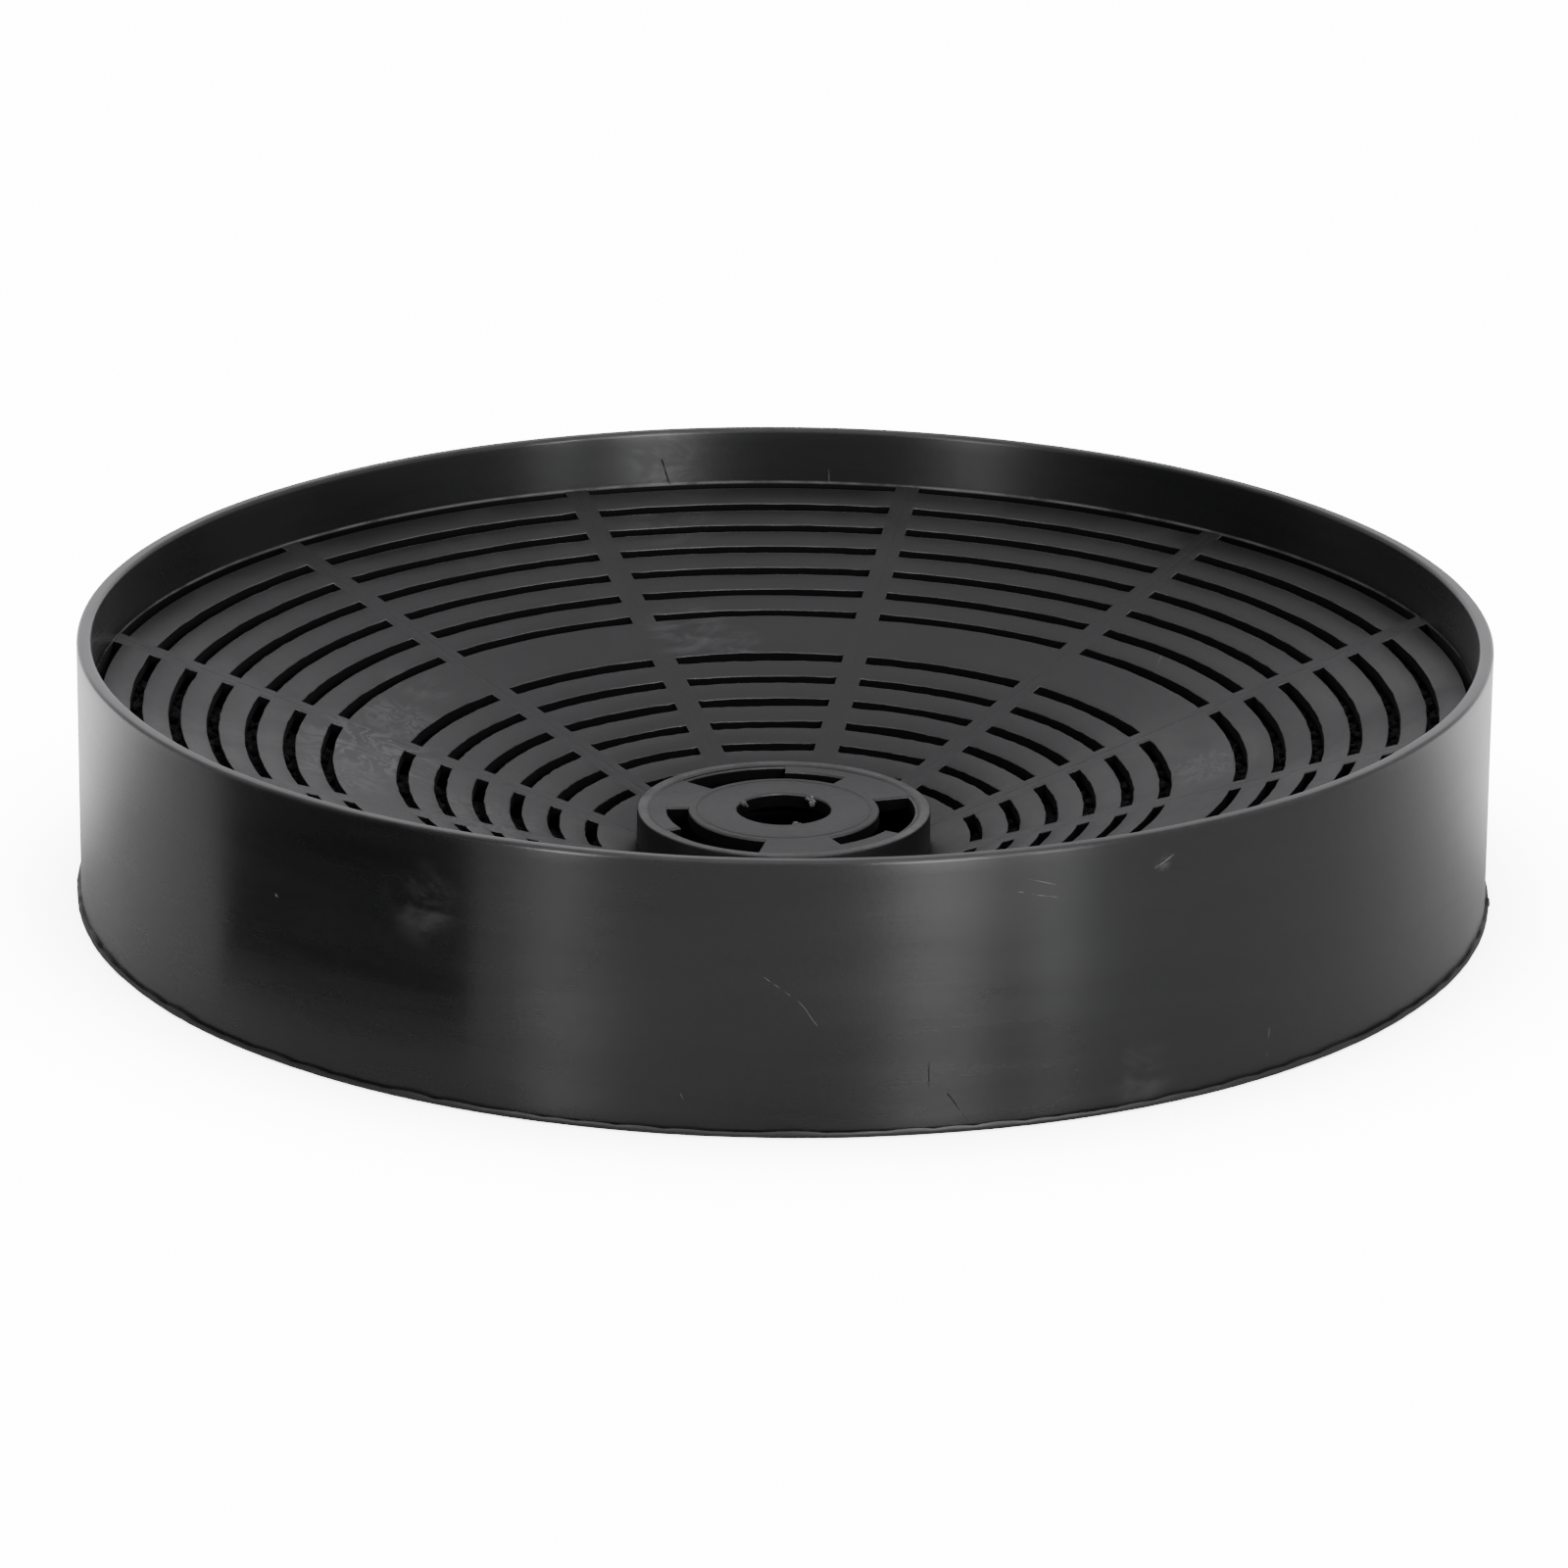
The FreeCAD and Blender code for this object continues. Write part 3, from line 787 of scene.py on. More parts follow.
@dataclass(frozen=True)
class MouldedPlastic:
    """Satin black polypropylene as it leaves the mould and the packing box, with painted highlight on its
    rounded edges and painted shade on the faces that line slots, bores and the inside.

    Attributes:
        name: Name of the material.
        colour: Colour of the clean plastic.
        roughness: Roughness of the clean plastic.
        spread: How much more the turned mould's lines spread a reflection up and down than round.
        marks: Depth of the turned lines, in metres.
        grain: Depth of the mould's grain, in metres.
        smudge: Strength of the cloudy patches.
        scratch: Share of the surface with hairline scratches.
        dust: Share of the cells of the speck pattern that hold a speck.
        edge_lightening: How much lighter the rounded edges are, partly as wear, partly as painted highlight.
        lined_roughness: Roughness of the faces that line slots and bores, which also take painted shade.
        scratches: Single scratches.
        scuffs: Single scuffed patches.
    """

    name: str
    colour: tuple[float, float, float] = (0.0035, 0.0036, 0.0039)
    roughness: float = 0.4
    spread: float = 0.0
    marks: float = 0.000012
    grain: float = 0.000012
    smudge: float = 0.4
    scratch: float = 0.25
    dust: float = 0.02
    edge_lightening: float = 0.05
    lined_roughness: float = 0.95
    scratches: tuple[Scratch, ...] = ()
    scuffs: tuple[Scuff, ...] = ()

    def make(self) -> bpy.types.Material:
        """Builds the material.

        Returns:
            The new material.
        """
        material, bench, shader = open_material(self.name)
        marks = self.gather_marks(bench)
        bench.join(self.shade(bench, marks), shader.inputs["Base Color"])
        # Painted shade: faces that line slots, bores and the inside turn metallic with a dim colour, which
        # cuts their reflection.
        bench.join(marks["recess_shade"], shader.inputs["Metallic"])
        bench.join(self.rough(bench, marks), shader.inputs["Roughness"])
        bench.raise_surface(shader, self.relief(bench, marks), 1.0, MM)
        shader.inputs["IOR"].default_value = 1.49
        if self.spread:
            shader.inputs["Anisotropic"].default_value = self.spread
            shader.inputs["Anisotropic Rotation"].default_value = 0.25
            tangent = bench.node("ShaderNodeTangent", direction_type="RADIAL", axis="Z")
            bench.join(tangent.outputs[0], shader.inputs["Tangent"])
        return material

    def gather_marks(self, bench: Bench) -> dict[str, bpy.types.NodeSocket]:
        """Places every effect that the plastic shows.

        Args:
            bench: The material's bench.

        Returns:
            The amount of each kind of mark; kinds that the piece doesn't have are left out.
        """
        place = bench.place()

        def effect(name: str, **values: object) -> bpy.types.NodeSocket:
            """Places a shared effect and gives its output."""
            placed = bench.node("ShaderNodeGroup", node_tree=SurfaceEffects.made[name])
            bench.join(place, placed.inputs["Vector"])
            for key, value in values.items():
                placed.inputs[key].default_value = value
            return placed.outputs[0]

        broad = effect("turned_marks", Around=2.5, Across=160.0)
        marks = {
            "turned": effect("turned_marks", Around=4.0, Across=1400.0),
            "broad": broad,
            "bands": bench.remap(broad, 0.3, 0.75, 0.0, 1.0),
            "grain": effect("mould_grain", Scale=1800.0),
            "smudge": effect("smudges", Scale=24.0, Share=self.smudge),
            "cloud": bench.remap(bench.noise(place, 16.0, 1.5, 0.4), 0.42, 0.62, 0.0, 1.0),
            "scratch": effect("hair_scratches", Scale=26.0, Width=0.0022, Share=self.scratch),
            "dust": effect("dust_specks", Scale=150.0, Size=0.055, Share=self.dust),
            "pits": effect("dust_specks", Scale=310.0, Size=0.09, Share=0.02),
            # Lighter rounded edges, partly wear and partly painted highlight; below, painted shade for faces
            # that line slots, bores and the inside.
            "wear_and_highlight": effect("edge_wear_and_highlights", Scale=170.0),
            "recess_shade": bench.stored("recess_shade"),
        }
        for one in self.scratches:
            start, end = one.ends()
            mark = effect("single_scratch", Start=start, End=end, Width=one.width * MM)
            bench.strongest(marks, one.kind.value, mark)
        for patch in self.scuffs:
            mark = effect(patch.kind.value, Centre=patch.middle(), Reach=patch.reach * MM, Scale=patch.scale)
            bench.strongest(marks, "scuffed", bench.math("MULTIPLY", mark, patch.strength))
        return marks

    def shade(self, bench: Bench, marks: dict[str, bpy.types.NodeSocket]) -> bpy.types.NodeSocket:
        """Mixes the colour: each mark in turn, by its amount times a strength, over those before.

        Args:
            bench: The material's bench.
            marks: The amount of each kind of mark.

        Returns:
            The colour.
        """
        lighter = (*(c * 1.8 + 0.003 for c in self.colour), 1.0)
        layers = (
            ("bands", 0.5, lighter),
            ("cloud", 0.5, lighter),
            ("smudge", 0.35, grey(0.03, 0.032)),
            ("scuffed", 0.6, grey(0.13, 0.134)),
            # Rounded edges lighter: partly wear, partly painted highlight.
            ("wear_and_highlight", 0.8, (*(c + self.edge_lightening for c in self.colour), 1.0)),
            ("whitened", 0.6, grey(0.2)),
            ("cut", 0.9, grey(0.001)),
            ("scratch", 0.35, grey(0.16, 0.17)),
            ("pits", 0.6, grey(0.002)),
            ("dust", 0.8, grey(0.6, 0.58)),
            # Painted shade for faces that line slots, bores and the inside; with Metallic at 1 this colour
            # sets their dim reflection.
            ("recess_shade", 1.0, grey(0.014, 0.0145)),
        )
        shade = (*self.colour, 1.0)
        for name, strength, colour in layers:
            if name in marks:
                shade = bench.blend(bench.math("MULTIPLY", marks[name], strength), shade, colour)
        return shade

    def rough(self, bench: Bench, marks: dict[str, bpy.types.NodeSocket]) -> bpy.types.NodeSocket:
        """Adds up the roughness: each mark's amount times what it adds.

        Args:
            bench: The material's bench.
            marks: The amount of each kind of mark.

        Returns:
            The roughness; faces that line slots, bores and the inside take their own, with their painted
            shade.
        """
        added = {"broad": 0.1, "cloud": 0.06, "smudge": 0.1, "wear_and_highlight": -0.06, "scuffed": 0.03, "cut": 0.4}
        total = self.roughness - 0.5 * added["broad"]
        for name, amount in {**added, "dust": 0.3}.items():
            if name in marks:
                total = bench.math("MULTIPLY_ADD", marks[name], amount, total, clamp=True)
        return bench.remap(marks["recess_shade"], 0.0, 1.0, total, self.lined_roughness)

    def relief(self, bench: Bench, marks: dict[str, bpy.types.NodeSocket]) -> bpy.types.NodeSocket:
        """Adds up the relief: each mark's amount times its height, in millimetres.

        Args:
            bench: The material's bench.
            marks: The amount of each kind of mark.

        Returns:
            The height, in millimetres.
        """
        total = bench.math("MULTIPLY", marks["turned"], self.marks / MM)
        heights = {"grain": self.grain / MM, "scratch": -0.012, "dust": 0.05, "scuffed": 0.006, "cut": -0.15}
        for name, height in heights.items():
            if name in marks:
                total = bench.math("MULTIPLY_ADD", marks[name], height, total)
        return total


@dataclass(frozen=True)
class BrokenCharcoal:
    """Dull broken charcoal with a few glinting faces."""

    name: str = "charcoal_granules"

    def make(self) -> bpy.types.Material:
        """Builds the material: grey-black noise, pores as bump, a lower roughness on some faces."""
        material, bench, shader = open_material(self.name)
        place = bench.place()
        lumps = bench.noise(place, 420.0, 3.0, 0.6)
        pores = bench.noise(place, 2600.0, 3.0, 0.7)
        tone = bench.remap(lumps, 0.35, 0.7, 0.0, 1.0)
        shade = bench.blend(tone, grey(0.0025, 0.0026), grey(0.006, 0.0062))
        bench.join(shade, shader.inputs["Base Color"])
        bench.join(bench.remap(lumps, 0.3, 0.7, 1.0, 0.85), shader.inputs["Roughness"])
        bench.raise_surface(shader, pores, 0.8, 0.2 * MM)
        return material


@dataclass(frozen=True)
class NeedledFleece:
    """Dark grey polyester fleece, its fibres lying every way."""

    name: str = "needled_fleece"

    def make(self) -> bpy.types.Material:
        """Builds the material: three directions of stretched noise as crossing fibres."""
        material, bench, shader = open_material(self.name)
        place = bench.place()
        marks = {}
        for turn in (0.2, 1.25, 2.3):
            laid = bench.node(
                "ShaderNodeMapping", {"Vector": place, "Rotation": (0.0, 0.0, turn), "Scale": (1.0, 9.0, 1.0)}
            ).outputs[0]
            strand = bench.remap(bench.noise(laid, 420.0, 3.0, 0.65), 0.46, 0.66, 0.0, 1.0)
            bench.strongest(marks, "fibres", strand)
        fibres = marks["fibres"]
        clumps = bench.remap(bench.noise(place, 90.0, 3.0, 0.5), 0.35, 0.7, 0.0, 0.45)
        shade = bench.blend(fibres, grey(0.045, 0.048), grey(0.17, 0.178))
        bench.join(bench.blend(clumps, shade, grey(0.03, 0.032)), shader.inputs["Base Color"])
        bench.join(bench.math("MULTIPLY_ADD", fibres, -0.15, 0.97), shader.inputs["Roughness"])
        bench.raise_surface(shader, fibres, 0.9, 0.3 * MM)
        shader.inputs["Sheen Weight"].default_value = 0.25
        return material


# ---------------------------------------------------------------- the slot pattern


@dataclass(frozen=True)
class SlotPattern:
    """Rings of arc-shaped slots between twelve spokes, shared by the grille and the back cover.

    Lengths are in millimetres.
    """

    sectors: int = 12
    half_spoke: float = 1.875
    slot_width: float = 1.8
    pitch: float = 5.58
    outer_ring: float = 95.6
    rings: tuple[int, ...] = (12, 11, 10, 9, 8, 7, 5, 4, 3, 2, 1, 0)
    rounding: float = 0.12
    arc_parts: int = 18

    def slots(self) -> Spans:
        """Inner and outer radius of every slot ring, from the hub outwards."""
        half = 0.5 * self.slot_width
        middles = [self.outer_ring - self.pitch * ring for ring in self.rings]
        return [(middle - half, middle + half) for middle in middles]

    def rows(self, first: float, last: float, openings: Spans) -> np.ndarray:
        """Radii of the grid's rows: close together at slot edges, spread out on the slats.

        Args:
            first: Innermost radius, in millimetres.
            last: Outermost radius, in millimetres.
            openings: Inner and outer radius of each opening.

        Returns:
            Rising radii, in millimetres.
        """
        steps = EDGE_STEPS * self.rounding
        radii = [np.array([first, last])]
        radii += [np.array(inner - steps) for inner, _ in openings]
        radii += [np.array(outer + steps) for _, outer in openings if outer < last]
        edges = [first] + [r for pair in openings for r in pair if r < last] + [last]
        for start, end in zip(edges[0::2], edges[1::2]):
            radii.append(np.linspace(start, end, max(3, round((end - start) / 1.9) + 1))[1:-1])
        every = np.unique(np.round(np.concatenate(radii), 4))
        return every[(every >= first) & (every <= last)]

    def columns(self, radii: np.ndarray) -> tuple[np.ndarray, np.ndarray, np.ndarray, np.ndarray]:
        """Angles of the grid's columns at each row.

        Columns beside a spoke keep their distance from its middle line, so their angle is
        arcsin(distance / radius). Columns between the spokes share the rest evenly.

        Args:
            radii: Radii of the rows, in millimetres.

        Returns:
            Angles by row and column, distance of each column from its spoke's middle line, share
            of the way across the sector, and which column gaps lie between the spokes.
        """
        beside = np.append([0.0, 0.1, 0.24, 0.6], self.half_spoke - self.rounding * EDGE_STEPS[::-1])
        sector = TURN / self.sectors
        near = np.arcsin(beside[None] / radii[:, None])
        inside = np.arange(1, self.arc_parts) / self.arc_parts
        middle = near[:, -1:] + (sector - 2.0 * near[:, -1:]) * inside
        far = sector - near[:, :0:-1]
        one = np.concatenate([near, middle, far], 1)
        starts = np.arange(self.sectors) * sector
        angles = (one[:, None, :] + starts[None, :, None]).reshape(len(radii), -1)
        away = np.concatenate([beside, np.full(self.arc_parts - 1, math.inf), beside[:0:-1]])
        share = np.concatenate([np.zeros(len(beside)), inside, np.ones(len(beside) - 1)])
        gap = np.arange(one.shape[1])
        between = (gap >= len(beside) - 1) & (gap < len(beside) - 1 + self.arc_parts)
        repeat = self.sectors
        return angles, np.tile(away, repeat), np.tile(share, repeat), np.tile(between, repeat)

    def solid(self, radii: np.ndarray, between: np.ndarray, openings: Spans) -> np.ndarray:
        """Which gaps of the grid are solid: all but those in an opening and between the spokes."""
        middle = 0.5 * (radii[1:] + radii[:-1])
        opened = np.zeros(len(middle), bool)
        for inner, outer in openings:
            opened |= (middle > inner) & (middle < outer)
        return ~(opened[:, None] & between[None])

    def drop(self, radii: np.ndarray, away: np.ndarray, openings: Spans) -> np.ndarray:
        """How far the rounded edge of an opening falls below the face at each grid point.

        Args:
            radii: Radii of the rows.
            away: Distance of each column from its spoke's middle line.
            openings: Inner and outer radius of each opening.

        Returns:
            The fall, in millimetres.
        """
        along = np.min([np.maximum(np.maximum(a - radii, radii - b), 0.0) for a, b in openings], 0)
        across = np.maximum(self.half_spoke - away, 0.0)
        return rounded_fall(np.hypot(along[:, None], across[None]), self.rounding)


# ---------------------------------------------------------------- sub-assemblies


@dataclass
class CasingWall:
    """The open ring that holds everything, with a lug under the end of each spoke.

    Lengths are in millimetres. A painted highlight line runs round the inside where the grille meets it, and
    the inside below it takes painted shade.
    """

    inner: float = 102.0
    outer: float = 104.2
    foot: float = 0.8
    top: float = 39.97
    rim_rounding: float = 0.62
    foot_rounding: float = 0.15
    crest_wear_and_highlight: float = 0.13
    line_height: float = 31.3
    line_reach: float = 0.3
    lug_count: int = 12
    lug_reach: float = 1.2
    lug_root: float = 0.4
    lug_height: float = 3.0
    lug_top: float = 29.2
    lug_half_width: float = 1.6
    lug_rounding: float = 0.2
    finish: MouldedPlastic = MouldedPlastic(
        "wall_plastic",
        roughness=0.27,
        spread=0.88,
        smudge=0.0,
        scratch=0.12,
        dust=0.006,
        edge_lightening=0.15,
        scratches=(
            Scratch(104.2, (292.07, 10.4), (292.12, 4.0), 0.07, ScratchKind.CUT),
            Scratch(104.2, (293.6, 5.6), (295.2, 1.3), 0.11, ScratchKind.CUT),
            Scratch(104.2, (279.5, 23.4), (282.1, 19.9), 0.05),
            Scratch(104.2, (282.1, 19.9), (284.6, 13.9), 0.05),
            Scratch(104.2, (273.3, 5.8), (274.8, 0.9), 0.07),
            Scratch(104.2, (299.6, 35.9), (301.9, 34.6), 0.07),
            Scratch(104.2, (298.4, 34.4), (302.3, 32.6), 0.06),
            Scratch(104.2, (310.2, 34.9), (311.9, 36.4), 0.14),
            Scratch(104.2, (321.7, 7.1), (321.5, 2.2), 0.06),
            Scratch(104.2, (238.25, 24.7), (238.35, 24.5), 0.32),
            Scratch(102.0, (112.1, 35.4), (111.4, 31.2), 0.12, ScratchKind.CUT),
            Scratch(102.0, (97.2, 33.6), (97.1, 31.2), 0.08),
        ),
        scuffs=(
            Scuff(104.2, 252.4, 29.0, 7.5, 120.0, 0.28),
            Scuff(104.2, 309.5, 5.0, 7.0, 90.0, 0.2),
            Scuff(104.2, 311.0, 35.6, 1.7, 500.0, 0.45),
            Scuff(102.0, 112.0, 35.0, 9.0, 160.0, 0.3),
        ),
    )

    def build(self) -> bpy.types.Object:
        """Carries the wall's outline round the axis and adds the twelve lugs.

        Returns:
            The finished wall.
        """
        shell = Shell()
        corners = [
            (self.inner, self.top, self.rim_rounding),
            (self.outer, self.top, self.rim_rounding),
            (self.outer, self.foot, self.foot_rounding),
            (self.inner, self.foot, self.foot_rounding),
            (self.inner, self.line_height - self.line_reach, 0.0),
            (self.inner, self.line_height, 0.0),
            (self.inner, self.line_height + self.line_reach, 0.0),
        ]
        outline = add_rows(round_corners(corners, 6), 1.6 * MM)
        radius, height = outline.T / MM
        crest = np.clip((height - (self.top - self.rim_rounding)) / self.rim_rounding, 0.0, 1.0)
        side = np.minimum(radius - self.inner, self.outer - radius)
        # The rim's crest is lighter: partly wear, partly painted highlight.
        edge = self.crest_wear_and_highlight * crest * np.clip(1.0 - side / (1.4 * self.rim_rounding), 0.15, 1.0)
        # Painted highlight: a light line round the inside where the grille's edge meets the wall.
        edge[(radius < self.inner + TOUCH) & (np.abs(height - self.line_height) < TOUCH)] = 1.0
        # Painted shade: the inside of the wall below that line, in the gap beside the grille.
        below = (height < self.line_height - self.line_reach - TOUCH) & (radius < self.inner + 0.3)
        radial, upward = Unevenness(11, 0.05 * MM, 3, 22), Unevenness(12, 0.02 * MM, 5, 40)
        shell.add_revolved(outline, 720, radial=radial, upward=upward, edge=edge, recess_shade=below * 1.0)
        self.add_lugs(shell)
        piece = shell.make_piece("casing_ring")
        mount(piece, "wall_plastic", self.finish.make(), "casing_wall")
        return piece

    def add_lugs(self, shell: Shell) -> None:
        """Adds the lugs: a rounded block outline, carried a short way along the wall.

        Args:
            shell: Shell that takes them in.
        """
        reach, root = self.inner - self.lug_reach, self.inner + self.lug_root
        low = self.lug_top - self.lug_height
        corners = [
            (reach, self.lug_top, self.lug_rounding),
            (root, self.lug_top, 0.0),
            (root, low, 0.0),
            (reach, low, self.lug_rounding),
        ]
        block = round_corners(corners, 3)
        width = np.arcsin(np.linspace(-self.lug_half_width, self.lug_half_width, 5) / self.inner)
        for lug in range(self.lug_count):
            angle = width + lug * TURN / self.lug_count
            points = on_circle(block[:, :1], angle[None], block[:, 1:])
            rows, cols = points.shape[:2]
            shell.add(points, grid_faces(rows, cols, ring=False, loop=True))
            number = np.arange(rows) * cols
            middle = points.mean(0)
            for end, order in ((0, 1), (cols - 1, -1)):
                fan = np.stack([number + end, np.roll(number + end, -1), np.full(rows, rows * cols)], -1)
                shell.add(np.concatenate([points.reshape(-1, 3), middle[end][None]]), fan[:, ::order])


@dataclass
class FrontGrille:
    """The dished grille: slats between slots, spokes with a fine mould line along them.

    Lengths are in millimetres, and fall is the drop of the cone for each unit of its radius.
    """

    pattern: SlotPattern = SlotPattern()
    inner: float = 21.85
    outer: float = 101.95
    wall_radius: float = 102.0
    wall_slot: float = 100.7
    height: float = 31.2
    fall: float = 0.315
    thickness: float = 1.8
    crown: float = 0.1
    widest_slat: float = 5.0
    slat_bow: float = 0.07
    edge_wander: float = 0.07
    edge_reach: float = 0.6
    line_depth: float = 0.036
    line_change: float = 0.021
    line_width: float = 0.12
    finish: MouldedPlastic = MouldedPlastic(
        "grille_plastic",
        colour=(0.005, 0.0051, 0.0055),
        roughness=0.44,
        smudge=0.8,
        scratch=0.15,
        dust=0.006,
        edge_lightening=0.1,
        scuffs=(
            Scuff(62.0, 186.5, 18.6, 15.0, 60.0, 0.6, ScuffKind.FEATHERY),
            Scuff(66.0, 199.0, 19.9, 11.0, 80.0, 0.4, ScuffKind.FEATHERY),
            Scuff(61.5, 172.0, 18.4, 8.0, 90.0, 0.4, ScuffKind.FEATHERY),
            Scuff(64.9, 160.0, 19.5, 7.0, 160.0, 0.35),
            Scuff(63.1, 114.0, 19.0, 10.0, 190.0, 0.4),
            Scuff(59.5, 108.5, 17.8, 6.0, 230.0, 0.35),
            Scuff(92.0, 112.0, 28.0, 10.0, 150.0, 0.22),
            Scuff(62.5, 11.0, 18.8, 9.0, 140.0, 0.4, ScuffKind.FEATHERY),
            Scuff(46.0, 205.0, 13.6, 13.0, 120.0, 0.35, ScuffKind.FEATHERY),
        ),
    )

    def build(self) -> bpy.types.Object:
        """Lays the slotted grid on the cone; the slot at the wall is open outwards.

        Returns:
            The finished grille.
        """
        openings = self.pattern.slots() + [(self.wall_slot, math.inf)]
        radii = self.pattern.rows(self.inner, self.outer, openings)
        angles, away, share, between = self.pattern.columns(radii)
        fall = self.pattern.drop(radii, away, openings)
        radius = radii[:, None] * MM + self.slot_wander(radii, angles, openings)
        face = self.cone(radius) + self.slat_bend(radii, share) - self.mould_line(radii, away)
        face = face - self.slat_crown(radii, share, openings)
        top = on_circle(radius, angles, face - fall * MM)
        bottom = on_circle(radius, angles, face - self.thickness * MM)
        shell = Shell()
        keep = self.pattern.solid(radii, between, openings)
        # Slot edges lighter: partly wear, partly a painted highlight line along each side.
        edge = np.clip(fall / self.pattern.rounding * 1.6, 0.0, 1.0)
        # The underside and the slot walls take painted shade.
        shell.add_slab(top, bottom, keep, edge=edge)
        piece = shell.make_piece("grille_face", crease=50.0)
        mount(piece, "grille_plastic", self.finish.make(), "front_grille")
        return piece

    def cone(self, radius: np.ndarray) -> np.ndarray:
        """Height of the dish at a radius, both in metres: height at the wall - fall x distance from it."""
        return self.height * MM - (self.wall_radius * MM - radius) * self.fall

    def slot_wander(self, radii: np.ndarray, angles: np.ndarray, openings: Spans) -> np.ndarray:
        """Small unevenness of the slot edges: each edge wanders in and out by itself.

        Args:
            radii: Radii of the rows, in millimetres.
            angles: Angles by row and column.
            openings: Inner and outer radius of each opening.

        Returns:
            What to add to the radius, in metres.
        """
        wander = np.zeros_like(angles)
        for number, (inner, outer) in enumerate(openings[:-1]):
            for side, edge in ((0, inner), (1, outer)):
                rows = np.abs(radii - edge) < self.edge_reach
                rows &= (radii <= edge + TOUCH) if side == 0 else (radii >= edge - TOUCH)
                line = Unevenness(200 + 2 * number + side, self.edge_wander * MM, 14, 110)
                wander[rows] = line.at(angles[rows])
        return wander

    def slat_bend(self, radii: np.ndarray, share: np.ndarray) -> np.ndarray:
        """Slats bowed a little up or down: a seeded height times sin squared(pi x share across).

        Args:
            radii: Radii of the rows, in millimetres.
            share: Share of the way across the sector, by column.

        Returns:
            What to add to the height, in metres.
        """
        middles = np.array([0.5 * (a + b) for a, b in self.pattern.slots()])
        slat = np.searchsorted(middles, radii)
        rng = np.random.default_rng(31)
        bow = rng.normal(0.0, self.slat_bow, (len(middles) + 1, self.pattern.sectors)) * MM
        bow[-1] *= 0.3
        sector = np.repeat(np.arange(self.pattern.sectors), len(share) // self.pattern.sectors)
        return bow[slat][:, sector] * (np.sin(math.pi * share) ** 2)[None]

    def slat_crown(self, radii: np.ndarray, share: np.ndarray, openings: Spans) -> np.ndarray:
        """Slats a little crowned: they sink by (distance from the middle / half width) squared.

        Args:
            radii: Radii of the rows, in millimetres.
            share: Share of the way across the sector, by column.
            openings: Inner and outer radius of each opening.

        Returns:
            What to take off the height, in metres.
        """
        sink = np.zeros(len(radii))
        for (_, low), (high, _) in zip(openings[:-1], openings[1:]):
            if high - low > self.widest_slat:
                continue
            on_slat = (radii >= low) & (radii <= high)
            sink[on_slat] = (2.0 * (radii[on_slat] - low) / (high - low) - 1.0) ** 2
        return self.crown * MM * sink[:, None] * np.clip(6.0 * np.sin(math.pi * share), 0.0, 1.0)[None]

    def mould_line(self, radii: np.ndarray, away: np.ndarray) -> np.ndarray:
        """Fine line along the middle of each spoke: a shallow groove whose depth comes and goes.

        Args:
            radii: Radii of the rows, in millimetres.
            away: Distance of each column from its spoke's middle line, in millimetres.

        Returns:
            What to take off the height, in metres.
        """
        depth = self.line_depth + self.line_change * np.cos(radii * 1.7) * np.cos(radii * 0.61 + 1.0)
        return depth[:, None] * np.exp(-((away[None] / self.line_width) ** 2)) * MM


